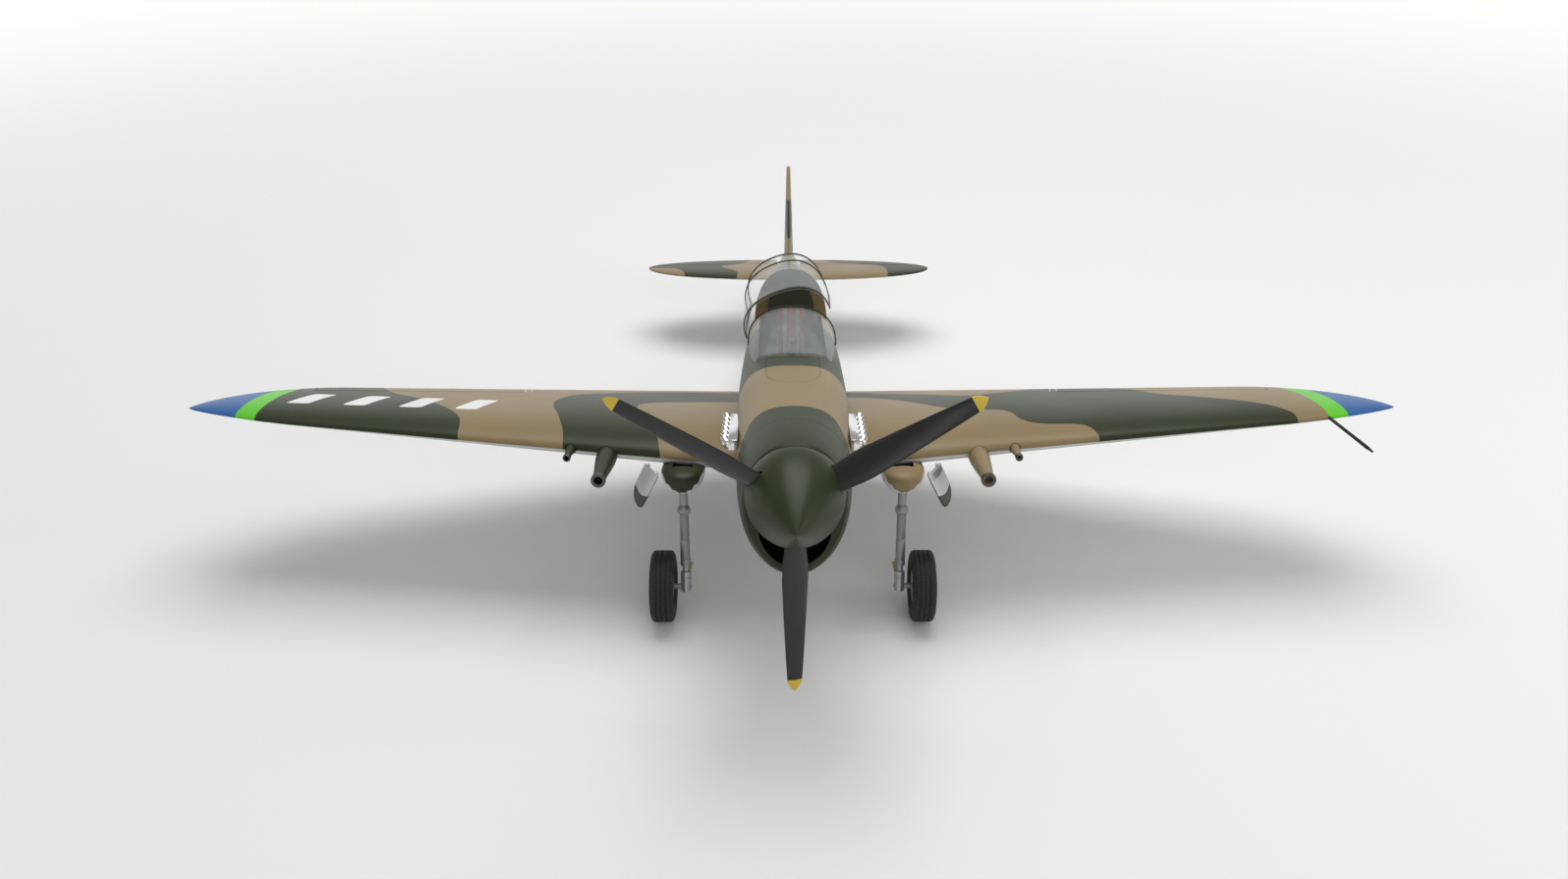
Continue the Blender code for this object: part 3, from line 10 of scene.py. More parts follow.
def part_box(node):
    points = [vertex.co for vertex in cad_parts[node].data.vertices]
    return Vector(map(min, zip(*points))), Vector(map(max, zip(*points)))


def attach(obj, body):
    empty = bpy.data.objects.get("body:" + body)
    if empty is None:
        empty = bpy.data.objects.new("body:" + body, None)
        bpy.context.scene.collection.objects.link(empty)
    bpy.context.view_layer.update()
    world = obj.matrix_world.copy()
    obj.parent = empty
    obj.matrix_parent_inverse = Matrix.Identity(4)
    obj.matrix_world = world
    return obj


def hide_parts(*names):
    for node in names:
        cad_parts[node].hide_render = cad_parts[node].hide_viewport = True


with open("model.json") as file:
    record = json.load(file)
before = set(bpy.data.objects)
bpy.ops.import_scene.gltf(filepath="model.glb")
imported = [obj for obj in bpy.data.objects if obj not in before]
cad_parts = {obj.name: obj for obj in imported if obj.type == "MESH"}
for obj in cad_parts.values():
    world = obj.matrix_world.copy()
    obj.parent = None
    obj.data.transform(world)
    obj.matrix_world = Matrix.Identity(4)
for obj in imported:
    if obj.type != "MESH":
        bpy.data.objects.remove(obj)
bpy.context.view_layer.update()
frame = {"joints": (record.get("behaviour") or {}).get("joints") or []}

# The plane's own axes: the hub is the origin, X runs to the left wing tip, Y aft along
# the thrust line and Z up. The frame's propeller joint says where that hub is and how
# far the tail sits down.
JOINTS = {joint["name"]: joint for joint in frame["joints"]}
HUB = Vector(JOINTS["propeller_spin"]["pos_m"])
AFT = Vector(JOINTS["propeller_spin"]["axis"])
LEAN = math.atan2(-AFT.z, AFT.y)
PLANE = Matrix.Translation(HUB) @ Matrix.Rotation(-LEAN, 4, "X")

# Studio: a camera low in front of the nose, a pale floor that curves up behind, a broad
# soft box overhead and weaker fills, so the shadow on the floor stays soft.
CAMERA_AT = Vector((-0.0149, -1.1213, 0.4618))
CAMERA_DOWN = 0.34239
CAMERA_YAW = 0.00365
CAMERA_LENS = 29.28
look = Vector(
    (
        math.sin(CAMERA_YAW) * math.cos(CAMERA_DOWN),
        math.cos(CAMERA_YAW) * math.cos(CAMERA_DOWN),
        -math.sin(CAMERA_DOWN),
    )
)
side = Vector((math.cos(CAMERA_YAW), -math.sin(CAMERA_YAW), 0))
over = side.cross(look)
camera_data = bpy.data.cameras.new("camera")
camera_data.lens = CAMERA_LENS
camera_data.sensor_width = 36.0
camera_data.clip_end = 100
camera = bpy.data.objects.new("camera", camera_data)
bpy.context.scene.collection.objects.link(camera)
aim = Matrix((side, over, -look)).transposed().to_4x4()
camera.matrix_world = PLANE @ Matrix.Translation(CAMERA_AT) @ aim
bpy.context.scene.camera = camera
bpy.context.scene.view_settings.view_transform = "Standard"

world = bpy.data.worlds.new("studio")
bpy.context.scene.world = world
world.use_nodes = True
world.node_tree.nodes["Background"].inputs["Color"].default_value = (0.90, 0.90, 0.89, 1)
world.node_tree.nodes["Background"].inputs["Strength"].default_value = 0.42


def soft_box(name, place, target, size, power):
    data = bpy.data.lights.new(name, "AREA")
    data.shape = "RECTANGLE"
    data.size, data.size_y = size
    data.energy = power
    lamp = bpy.data.objects.new(name, data)
    lamp.location = place
    lamp.rotation_euler = (Vector(target) - Vector(place)).to_track_quat("-Z", "Y").to_euler()
    bpy.context.scene.collection.objects.link(lamp)


soft_box("overhead", (0.1, 0.5, 2.6), (0.0, 0.0, 0.0), (2.2, 1.6), 46)
soft_box("front_fill", (0.4, -2.6, 1.7), (0.0, 0.0, 0.2), (1.6, 0.9), 10)
soft_box("left_strip", (2.4, -0.6, 1.2), (0.0, 0.0, 0.2), (0.5, 1.6), 7)

floor_bm = bmesh.new()
bmesh.ops.create_grid(floor_bm, x_segments=2, y_segments=24, size=1.0)
for corner in floor_bm.verts:
    run = (corner.co.y + 1) / 2
    corner.co.x *= 14
    bend = max(0.0, run - 0.55) / 0.45
    corner.co.y = -8 + 22 * min(run, 0.55) / 0.55 + 5 * math.sin(bend * math.pi / 2)
    corner.co.z = 5 * (1 - math.cos(bend * math.pi / 2)) + 7 * max(0.0, bend - 0.8)
floor_mesh = bpy.data.meshes.new("floor")
floor_bm.to_mesh(floor_mesh)
floor_bm.free()
floor_mesh.shade_smooth()
floor = bpy.data.objects.new("floor", floor_mesh)
bpy.context.scene.collection.objects.link(floor)
floor_paint = bpy.data.materials.new("studio_floor")
floor_paint.use_nodes = True
floor_shader = floor_paint.node_tree.nodes["Principled BSDF"]
floor_shader.inputs["Base Color"].default_value = (0.86, 0.86, 0.86, 1)
floor_shader.inputs["Roughness"].default_value = 0.75
floor_shader.inputs["Emission Color"].default_value = (1, 1, 1, 1)
floor_tree = floor_paint.node_tree
# Painted light: the floor glows, from none within 0.4 m of its centre up to a strength of 0.62 at 4.5 m, so
# the far floor brightens into the white backdrop.
floor_place = floor_tree.nodes.new("ShaderNodeTexCoord")
floor_reach = floor_tree.nodes.new("ShaderNodeVectorMath")
floor_reach.operation = "LENGTH"
floor_painted_glow = floor_tree.nodes.new("ShaderNodeMapRange")
floor_painted_glow.interpolation_type = "SMOOTHSTEP"
floor_painted_glow.inputs["From Min"].default_value = 0.4
floor_painted_glow.inputs["From Max"].default_value = 4.5
floor_painted_glow.inputs["To Min"].default_value = 0.0
floor_painted_glow.inputs["To Max"].default_value = 0.62
floor_tree.links.new(floor_place.outputs["Object"], floor_reach.inputs[0])
floor_tree.links.new(floor_reach.outputs["Value"], floor_painted_glow.inputs["Value"])
floor_tree.links.new(floor_painted_glow.outputs["Result"], floor_shader.inputs["Emission Strength"])
floor_mesh.materials.append(floor_paint)


# Airframe paint: satin acrylic over a moulded foam skin, masked into two camouflage
# colours, with a pale belly and banded wing tips. The mask is a distance field kept on
# each piece's points, so that its edge stays crisp however coarse the skin is.
OLIVE = (0.027, 0.036, 0.014, 1)
SAND = (0.262, 0.192, 0.096, 1)
BELLY = (0.60, 0.61, 0.60, 1)
TIP_BLUE = (0.030, 0.125, 0.36, 1)
TIP_GREEN = (0.115, 0.58, 0.020, 1)
BARS = (0.78, 0.79, 0.78, 1)
BAND_IN = 0.6130
BAND_OUT = 0.6370


def wire(tree, source, target):
    tree.links.new(source, target)


def shader_node(tree, kind, **values):
    made = tree.nodes.new(kind)
    for name, value in values.items():
        setattr(made, name, value)
    return made


def read_field(tree, name):
    """A point field drawn as a sharp mask: 1 where the field is above zero."""
    field = shader_node(tree, "ShaderNodeAttribute", attribute_name=name)
    ramp = shader_node(tree, "ShaderNodeMapRange", clamp=True)
    ramp.inputs["From Min"].default_value = -0.0002
    ramp.inputs["From Max"].default_value = 0.0002
    wire(tree, field.outputs["Fac"], ramp.inputs["Value"])
    return ramp.outputs["Result"]


def mix_paint(tree, mask, under, over_paint):
    """Lay one paint over another through a mask; each is a colour or a socket."""
    made = shader_node(tree, "ShaderNodeMix", data_type="RGBA")
    wire(tree, mask, made.inputs[0])
    for paint, socket in ((under, made.inputs[6]), (over_paint, made.inputs[7])):
        if isinstance(paint, tuple):
            socket.default_value = paint
        else:
            wire(tree, paint, socket)
    return made.outputs[2]


def weather(tree, shader, paint, scale, soil, grain, rough):
    """Uneven coats, soft soiling and a fine skin texture, on the piece's own place."""
    place = shader_node(tree, "ShaderNodeTexCoord").outputs["Object"]
    cloud = shader_node(tree, "ShaderNodeTexNoise")
    cloud.inputs["Scale"].default_value = scale
    cloud.inputs["Detail"].default_value = 5
    wire(tree, place, cloud.inputs["Vector"])
    fade = shader_node(tree, "ShaderNodeMapRange")
    fade.inputs["From Min"].default_value = 0.35
    fade.inputs["From Max"].default_value = 0.70
    fade.inputs["To Max"].default_value = soil
    wire(tree, cloud.outputs["Fac"], fade.inputs["Value"])
    darker = shader_node(tree, "ShaderNodeHueSaturation")
    darker.inputs["Value"].default_value = 0.80
    darker.inputs["Saturation"].default_value = 0.92
    if isinstance(paint, tuple):
        darker.inputs["Color"].default_value = paint
    else:
        wire(tree, paint, darker.inputs["Color"])
    coat = mix_paint(tree, fade.outputs["Result"], paint, darker.outputs["Color"])
    wire(tree, coat, shader.inputs["Base Color"])
    speck = shader_node(tree, "ShaderNodeTexNoise")
    speck.inputs["Scale"].default_value = scale * 40
    speck.inputs["Detail"].default_value = 3
    wire(tree, place, speck.inputs["Vector"])
    sheen = shader_node(tree, "ShaderNodeMapRange")
    sheen.inputs["To Min"].default_value = rough - 0.06
    sheen.inputs["To Max"].default_value = rough + 0.10
    wire(tree, cloud.outputs["Fac"], sheen.inputs["Value"])
    wire(tree, sheen.outputs["Result"], shader.inputs["Roughness"])
    bump = shader_node(tree, "ShaderNodeBump")
    bump.inputs["Strength"].default_value = grain
    bump.inputs["Distance"].default_value = 0.0004
    wire(tree, speck.outputs["Fac"], bump.inputs["Height"])
    wire(tree, bump.outputs["Normal"], shader.inputs["Normal"])


def finish_material(name, colour, rough, metallic=0.0, scale=9.0, soil=0.5, grain=0.10):
    """A painted, moulded or plated finish with its wear."""
    made = bpy.data.materials.new(name)
    made.use_nodes = True
    shader = made.node_tree.nodes["Principled BSDF"]
    shader.inputs["Metallic"].default_value = metallic
    shader.inputs["Specular IOR Level"].default_value = 0.22
    weather(made.node_tree, shader, colour, scale, soil, grain, rough)
    return made


def camouflage(name, barred):
    """The masked paint scheme, with plain white bars where they are asked for."""
    made = bpy.data.materials.new(name)
    made.use_nodes = True
    tree = made.node_tree
    shader = tree.nodes["Principled BSDF"]
    shader.inputs["Specular IOR Level"].default_value = 0.22
    paint = mix_paint(tree, read_field(tree, "sand"), OLIVE, SAND)
    paint = mix_paint(tree, read_field(tree, "green"), paint, TIP_GREEN)
    paint = mix_paint(tree, read_field(tree, "blue"), paint, TIP_BLUE)
    if barred:
        paint = mix_paint(tree, read_field(tree, "bars"), paint, BARS)
    paint = mix_paint(tree, read_field(tree, "belly"), paint, BELLY)
    weather(tree, shader, paint, 7.0, 0.55, 0.12, 0.36)
    return made


CAMOUFLAGE = camouflage("camouflage", False)
WING_PAINT = camouflage("wing_camouflage", True)
OLIVE_PAINT = finish_material("olive_paint", OLIVE, 0.36)


# Fuselage: a moulded foam shell in one piece from the firewall to the rudder post, with
# the cockpit, the hatch, the rear windows' recesses and the tail slot moulded through
# it, and a raised deck that carries the canopy's line back into the spine.
GAP = 0.0003
HIGH = 0.2
COWL_FRONT = 0.0180
COWL_BACK = 0.0800
BODY_BACK = 1.0080
WALL = 0.0060
COCKPIT_HALF = 0.0400
SCREEN_FRONT = 0.2920
SCREEN_BACK = 0.3630
CANOPY_BACK = 0.5290
HATCH_FRONT = 0.1900
HATCH_BACK = 0.2880
HATCH_HALF = 0.0300
WINDOW_BACK = 0.6050
SPINE_HALF = 0.0110
SILL_Z = 0.0520
BAY_PAINT = finish_material("bay_paint", (0.085, 0.095, 0.070, 1), 0.55)
FOAM_INSIDE = finish_material("bare_foam", (0.020, 0.022, 0.020, 1), 0.85, 0.0, 30.0, 0.6, 0.5)

# Station, half width, top, bottom, fullness of the top and of the bottom.
SECTIONS = (
    (0.0180, 0.0515, 0.0505, -0.0860, 2.0, 1.9),
    (0.0370, 0.0548, 0.0525, -0.0945, 2.1, 1.95),
    (0.0600, 0.0572, 0.0540, -0.0990, 2.2, 2.0),
    (0.0800, 0.0585, 0.0550, -0.1005, 2.3, 2.1),
    (0.1230, 0.0605, 0.0570, -0.1000, 2.5, 2.2),
    (0.1850, 0.0625, 0.0595, -0.0970, 2.8, 2.3),
    (0.2500, 0.0630, 0.0612, -0.0930, 3.1, 2.4),
    (0.3200, 0.0622, 0.0600, -0.0885, 3.3, 2.4),
    (0.4000, 0.0605, 0.0590, -0.0820, 3.3, 2.4),
    (0.4700, 0.0575, 0.0580, -0.0745, 3.2, 2.3),
    (0.5400, 0.0535, 0.0580, -0.0660, 3.0, 2.2),
    (0.6200, 0.0475, 0.0575, -0.0560, 2.6, 2.1),
    (0.7200, 0.0390, 0.0560, -0.0440, 2.3, 2.0),
    (0.8300, 0.0285, 0.0535, -0.0315, 2.1, 2.0),
    (0.9200, 0.0190, 0.0505, -0.0215, 2.0, 2.0),
    (0.9700, 0.0132, 0.0480, -0.0160, 2.0, 2.0),
    (1.0080, 0.0085, 0.0450, -0.0120, 2.0, 2.0),
)


def between(low, high, share):
    return low + (high - low) * share


def flow(rows, at):
    """The rows' values at a place along them, on a smooth curve through every row."""
    last = len(rows) - 2
    index = next((i for i in range(last) if at < rows[i + 1][0]), last)
    before = rows[max(0, index - 1)]
    start, end = rows[index], rows[index + 1]
    after = rows[min(last + 1, index + 2)]
    run = end[0] - start[0]
    t = min(1.0, max(0.0, (at - start[0]) / run))
    values = []
    for a, b, c, d in zip(before[1:], start[1:], end[1:], after[1:]):
        rise_in = (c - a) / (end[0] - before[0]) * run
        rise_out = (d - b) / (after[0] - start[0]) * run
        values.append(
            b * (1 + t * t * (2 * t - 3))
            + c * t * t * (3 - 2 * t)
            + rise_in * t * (1 - t) ** 2
            - rise_out * t * t * (1 - t)
        )
    return values


def skin(across, along, place):
    """A closed skin: place(i, share) gives the point at column i and share of the length."""
    bm = bmesh.new()
    bmesh.ops.create_grid(bm, x_segments=across, y_segments=along, size=1.0)
    for point in bm.verts:
        column = round((point.co.x + 1) / 2 * across)
        point.co = place(column, (point.co.y + 1) / 2)
    bmesh.ops.remove_doubles(bm, verts=bm.verts, dist=2e-6)
    bmesh.ops.holes_fill(bm, edges=[edge for edge in bm.edges if edge.is_boundary])
    bmesh.ops.recalc_face_normals(bm, faces=bm.faces)
    return bm


def block(low, high):
    bm = bmesh.new()
    bmesh.ops.create_cube(bm, size=1.0)
    bmesh.ops.scale(bm, vec=[b - a for a, b in zip(low, high)], verts=bm.verts)
    bmesh.ops.translate(bm, vec=[(a + b) / 2 for a, b in zip(low, high)], verts=bm.verts)
    return bm


def round_block(low, high, radius, segments=3):
    bm = block(low, high)
    bmesh.ops.bevel(
        bm, geom=bm.edges[:], offset=radius, segments=segments, affect="EDGES", profile=0.5, material=-1
    )
    return bm


def rod(start, end, radius, sides=32, radius_end=None):
    bm = bmesh.new()
    start = Vector(start)
    run = Vector(end) - start
    bmesh.ops.create_cone(
        bm,
        cap_ends=True,
        segments=sides,
        radius1=radius,
        radius2=radius if radius_end is None else radius_end,
        depth=run.length,
        matrix=Matrix.Translation(start + run / 2) @ run.to_track_quat("Z", "Y").to_matrix().to_4x4(),
    )
    return bm


def turned(profile, centre, axis, sides=48):
    """Spin a profile of (along, radius) points about an axis through centre."""
    along = Vector(axis).normalized()
    out = along.orthogonal().normalized()
    bm = bmesh.new()
    points = [bm.verts.new(Vector(centre) + along * step + out * radius) for step, radius in profile]
    edges = [bm.edges.new(pair) for pair in zip(points, points[1:])]
    if profile[0][1] > 0 or profile[-1][1] > 0:
        edges.append(bm.edges.new((points[-1], points[0])))
    bmesh.ops.spin(
        bm,
        geom=points + edges,
        cent=Vector(centre),
        axis=along,
        angle=2 * math.pi,
        steps=sides,
        use_merge=True,
    )
    bmesh.ops.remove_doubles(bm, verts=bm.verts, dist=1e-6)
    bmesh.ops.recalc_face_normals(bm, faces=bm.faces)
    return bm


def drawn(outline, depth):
    """A flat outline of points drawn along depth into a closed prism."""
    bm = bmesh.new()
    face = bm.faces.new([bm.verts.new(point) for point in outline])
    moved = bmesh.ops.extrude_face_region(bm, geom=[face])
    top = [item for item in moved["geom"] if isinstance(item, bmesh.types.BMVert)]
    bmesh.ops.translate(bm, vec=depth, verts=top)
    bmesh.ops.recalc_face_normals(bm, faces=bm.faces)
    return bm


def gathered(*parts):
    """Several closed shapes as one piece."""
    whole = bmesh.new()
    for part in parts:
        mesh = bpy.data.meshes.new("part")
        part.to_mesh(mesh)
        part.free()
        whole.from_mesh(mesh)
        bpy.data.meshes.remove(mesh)
    return whole


def loose(bm, material):
    """A helper object for a Boolean."""
    mesh = bpy.data.meshes.new("helper")
    bmesh.ops.recalc_face_normals(bm, faces=bm.faces)
    bm.to_mesh(mesh)
    bm.free()
    mesh.materials.append(material)
    obj = bpy.data.objects.new("helper", mesh)
    bpy.context.scene.collection.objects.link(obj)
    return obj


def carved(bm, material, *steps):
    """The shape after its Boolean steps: (operation, other shape, material of the cut)."""
    body = loose(bm, material)
    tools = []
    for operation, other, lining in steps:
        tool = loose(other, lining or material)
        tools.append(tool)
        step = body.modifiers.new("step", "BOOLEAN")
        step.operation = operation
        step.object = tool
        step.solver = "EXACT"
        step.material_mode = "TRANSFER"
    bpy.context.view_layer.update()
    graph = bpy.context.evaluated_depsgraph_get()
    mesh = bpy.data.meshes.new_from_object(body.evaluated_get(graph))
    for helper in [body, *tools]:
        old = helper.data
        bpy.data.objects.remove(helper)
        bpy.data.meshes.remove(old)
    return mesh


def keep(name, shape, material, body, stands_for=(), fields=None, angle=32):
    """Put a finished shape, drawn in the plane's axes, into the scene on its body."""
    if isinstance(shape, bmesh.types.BMesh):
        mesh = bpy.data.meshes.new(name)
        bmesh.ops.recalc_face_normals(shape, faces=shape.faces)
        shape.to_mesh(mesh)
        shape.free()
        mesh.materials.append(material)
    else:
        mesh = shape
        mesh.name = name
    if fields:
        places = np.array([point.co for point in mesh.vertices]).reshape(-1, 3)
        for field, values in fields(places).items():
            attribute = mesh.attributes.new(field, "FLOAT", "POINT")
            attribute.data.foreach_set("value", np.asarray(values, np.float32))
    mesh.transform(PLANE)
    mesh.shade_smooth()
    mesh.set_sharp_from_angle(angle=math.radians(angle))
    obj = bpy.data.objects.new(name, mesh)
    bpy.context.scene.collection.objects.link(obj)
    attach(obj, body)
    if stands_for:
        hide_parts(*stands_for)
    return obj


def smooth_outline(corners, steps=6):
    """A closed curve through given corners."""
    points = []
    count = len(corners)
    for i in range(count):
        a, b, c, d = (np.array(corners[(i + k) % count], float) for k in (-1, 0, 1, 2))
        for k in range(steps):
            t = k / steps
            points.append(
                0.5
                * (
                    2 * b
                    + (c - a) * t
                    + (2 * a - 5 * b + 4 * c - d) * t**2
                    + (3 * b - a - 3 * c + d) * t**3
                )
            )
    return np.array(points)


def patch(places, corners):
    """Signed distance of flat places from a rounded patch: positive inside it."""
    outline = smooth_outline(corners)
    start, end = outline, np.roll(outline, -1, axis=0)
    run = end - start
    offset = places[:, None, :] - start[None]
    share = np.clip((offset * run).sum(2) / (run * run).sum(1), 0, 1)
    distance = np.linalg.norm(offset - share[:, :, None] * run[None], axis=2).min(1)
    crosses = (start[None, :, 1] > places[:, None, 1]) != (end[None, :, 1] > places[:, None, 1])
    with np.errstate(divide="ignore", invalid="ignore"):
        at = start[:, 0] + (places[:, None, 1] - start[:, 1]) * run[:, 0] / run[:, 1]
    inside = (crosses & (places[:, None, 0] < at)).sum(1) % 2 == 1
    return np.where(inside, distance, -distance)


BODY_SAND = (
    ((0.088, -0.030), (0.098, 0.020), (0.116, 0.047), (0.124, 0.075), (0.185, 0.100), (0.246, 0.075),
     (0.243, 0.045), (0.228, 0.005), (0.215, -0.040), (0.185, -0.070), (0.120, -0.060)),
    ((0.420, 0.010), (0.455, 0.055), (0.500, 0.075), (0.560, 0.080), (0.600, 0.050), (0.612, 0.010),
     (0.580, -0.030), (0.520, -0.055), (0.450, -0.060), (0.415, -0.030)),
    ((0.700, 0.080), (0.760, 0.085), (0.785, 0.040), (0.820, 0.010), (0.830, -0.030), (0.790, -0.060),
     (0.730, -0.040), (0.705, 0.000), (0.685, 0.040)),
    ((0.860, 0.100), (1.120, 0.088), (1.120, 0.050), (0.960, 0.045), (0.900, 0.030), (0.855, 0.040)),
)


def body_fields(places):
    side_view = places[:, 1:]
    sand = np.max([patch(side_view, corners) for corners in BODY_SAND], axis=0)
    aft, up = places[:, 1], places[:, 2]
    waterline = -0.072 + 0.050 * np.clip((aft - 0.30) / 0.70, 0, 1) + 0.004 * np.sin(aft * 22)
    waterline -= 0.060 * np.clip((0.21 - aft) / 0.06, 0, 1)
    never = np.full(len(places), -1.0)
    return {"sand": sand, "belly": waterline - up, "blue": never, "green": never}


def body_ring_point(column, columns, aft, grow):
    half, top, bottom, full_top, full_bottom = flow(SECTIONS, aft)
    middle = between(bottom, top, 0.55)
    angle = 2 * math.pi * column / columns
    c, s = math.cos(angle), math.sin(angle)
    power = 2 / (full_top if s > 0 else full_bottom)
    reach = (top - middle if s > 0 else middle - bottom) + grow
    return Vector(
        (
            math.copysign(abs(c) ** power, c) * (half + grow),
            aft,
            middle + math.copysign(abs(s) ** power, s) * reach,
        )
    )


def body_bm(front, back, grow=0.0, across=96, step=0.006):
    along = max(2, round((back - front) / step))
    return skin(
        across, along, lambda i, share: body_ring_point(i, across, between(front, back, share), grow)
    )


def arch_bm(rows, foot, grow=0.0, drop=0.0, across=48, step=0.005, past=0.0):
    """A canopy-like arch: full curved sides over a foot line, run down by drop."""
    front, back = rows[0][0] - past, rows[-1][0] + past
    along = max(2, round((back - front) / step))
    columns = across + 4

    def place(column, share):
        aft = between(front, back, share)
        half, top = flow(rows, min(max(aft, rows[0][0]), rows[-1][0]))
        if column > across:
            low = (column - across) / 4
            side_x = (half + grow) * (2 * low - 1) if drop else -(half + grow) * (1 - 2 * low)
            return Vector((side_x, aft, foot - drop))
        angle = math.pi * column / across
        c, s = math.cos(angle), math.sin(angle)
        x = math.copysign(abs(c) ** 0.86, c) * (half + grow)
        rise = s**0.80 * (top - foot + grow) if s > 1e-9 else 0.0
        if drop and column in (0, across):
            return Vector((x, aft, foot - drop))
        return Vector((x, aft, foot + rise))

    return skin(columns, along, place)


DECK = (
    (CANOPY_BACK + 4 * GAP, 0.0480, 0.1110),
    (0.5700, 0.0460, 0.1040),
    (0.6150, 0.0400, 0.0880),
    (0.6600, 0.0300, 0.0600),
)


def hatch_outline(grow, height):
    half, front = HATCH_HALF + grow, HATCH_FRONT - grow
    outline = [(half, HATCH_BACK + grow, height)]
    for k in range(33):
        angle = math.pi * k / 32
        outline.append((half * math.cos(angle), front + 0.040 * (1 - math.sin(angle)), height))
    return outline + [(-half, HATCH_BACK + grow, height)]


STAB_SPAN = 0.2296
STAB_LE = 0.8740
STAB_TE = 1.0220
STAB_Z = 0.0215
STAB_TIP_Y = 0.9580


def stab_bm(grow=0.0, across=48, along=96):
    columns = across + 1

    def place(column, share):
        span = -math.cos(math.pi * share) * STAB_SPAN
        past = min(0.9995, abs(span) / STAB_SPAN)
        shrink = math.sqrt(1 - past**2.3)
        lead = between(STAB_TIP_Y, STAB_LE, shrink) - grow
        trail = between(STAB_TIP_Y, STAB_TE, shrink) + grow
        turn = 2 * math.pi * max(0, column - 1) / across
        chord = 1.0 if column == 0 else (1 + math.cos(turn)) / 2
        height = 0.0060 * max(0.12, shrink) * (1 - (2 * chord**0.62 - 1) ** 2) + 0.0005 + grow
        below = column == 0 or turn > math.pi
        if 0 < column and chord < 1e-9:
            height = 0.0
        return Vector((span, between(lead, trail, chord), STAB_Z + (-height if below else height)))

    return skin(columns, along, place)


shell = carved(
    body_bm(COWL_BACK + GAP, BODY_BACK),
    CAMOUFLAGE,
    ("DIFFERENCE", body_bm(COWL_BACK - 0.01, 0.78, -WALL, 48, 0.02), FOAM_INSIDE),
    ("UNION", arch_bm(DECK, 0.0300), None),
    (
        "DIFFERENCE",
        block(
            (-COCKPIT_HALF - GAP, SCREEN_FRONT + 0.006, 0.0),
            (COCKPIT_HALF + GAP, CANOPY_BACK - 0.006, HIGH)
        ),
        None
    ),
    ("DIFFERENCE", drawn(hatch_outline(GAP, 0.03), (0, 0, HIGH)), FOAM_INSIDE),
    (
        "DIFFERENCE", block((SPINE_HALF, CANOPY_BACK + 0.006, SILL_Z + 0.008), (HIGH, WINDOW_BACK, HIGH)),
        BAY_PAINT
    ),
    (
        "DIFFERENCE", block((-HIGH, CANOPY_BACK + 0.006, SILL_Z + 0.008), (-SPINE_HALF, WINDOW_BACK, HIGH)),
        BAY_PAINT
    ),
    ("DIFFERENCE", stab_bm(GAP), None),
    ("DIFFERENCE", rod((0, 0.905, -0.06), (0, 0.905, 0.0123), 0.0033), None),
)
keep("fuselage_shell", shell, CAMOUFLAGE, "airframe", ["fuselage"], body_fields, 28)


# Nose cowl: a thin glossy moulding over the motor, screwed to the firewall ring. Its
# round front edge stands just behind the spinner, and the chin mouth below the shaft
# feeds the air ducts that a central splitter and a radiator grille divide.
MOUTH_TOP = -0.0345
MOUTH_HALF = 0.0360
DUCT_PAINT = finish_material("duct_paint", (0.012, 0.020, 0.012, 1), 0.6)
MESH_METAL = finish_material("radiator_mesh", (0.10, 0.10, 0.10, 1), 0.45, 0.8, 40.0, 0.5, 0.3)


def mouth_outline(aft, shrink=0.0):
    outline = []
    for k in range(33):
        angle = math.pi * k / 32
        half = MOUTH_HALF - shrink
        outline.append((half * math.cos(angle), aft, MOUTH_TOP - (0.009 + shrink) * math.sin(angle)))
    for k in range(1, 32):
        angle = math.pi * k / 32
        half = MOUTH_HALF - shrink
        outline.append((-half * math.cos(angle), aft, MOUTH_TOP - (0.0425 - shrink) * math.sin(angle)))
    return outline


def cowl_place(column, share, across=96):
    """The cowl's skin with its front edge rolled in towards the spinner."""
    aft = between(COWL_FRONT, COWL_BACK, share)
    roll = max(0.0, 1 - (aft - COWL_FRONT) / 0.0040)
    return body_ring_point(column, across, aft, -0.0022 * roll**2)


cowl = carved(
    skin(96, 40, cowl_place),
    CAMOUFLAGE,
    ("DIFFERENCE", body_bm(COWL_FRONT + 0.003, COWL_BACK + 0.01, -0.0022, 96, 0.01), DUCT_PAINT),
    ("DIFFERENCE", rod((0, 0, 0), (0, 0.03, 0), 0.0240, 64), DUCT_PAINT),
    ("DIFFERENCE", drawn(mouth_outline(0.0), (0, 0.030, 0)), None),
)
keep("nose_cowl_shell", cowl, CAMOUFLAGE, "airframe", ["nose_cowl"], body_fields, 40)

# Duct floor, splitter and radiator face inside the mouth, moulded in one dark plastic.
splitters = gathered(
    round_block((-0.0010, 0.0230, -0.0780), (0.0010, 0.0700, -0.0390), 0.0006, 2),
    round_block((-0.0340, 0.0260, -0.0425), (0.0340, 0.0700, -0.0410), 0.0005, 2),
)
keep("intake_splitters", splitters, DUCT_PAINT, "airframe")
grille = gathered(
    *[
        round_block((-0.0330, 0.0600, z), (0.0330, 0.0612, z + 0.0009), 0.0003, 1)
        for z in np.arange(-0.078, -0.043, 0.003)
    ],
    *[
        round_block((x, 0.0592, -0.0790), (x + 0.0009, 0.0602, -0.0430), 0.0003, 1)
        for x in np.arange(-0.033, 0.033, 0.0044)
    ],
)
keep("radiator_grille", grille, MESH_METAL, "airframe")


# Spinner: a thin turned and painted shell with a slot cut round each blade root, held on
# a black backplate. A fine seam shows where the shell meets the plate.
SPINNER_R = 0.0493
SPINNER_NOSE = 0.0825
SPINNER_BACK = 0.0160
PROP_R = 0.2064
NYLON = finish_material("propeller_nylon", (0.0065, 0.0065, 0.0070, 1), 0.30, 0.0, 20.0, 0.5, 0.08)


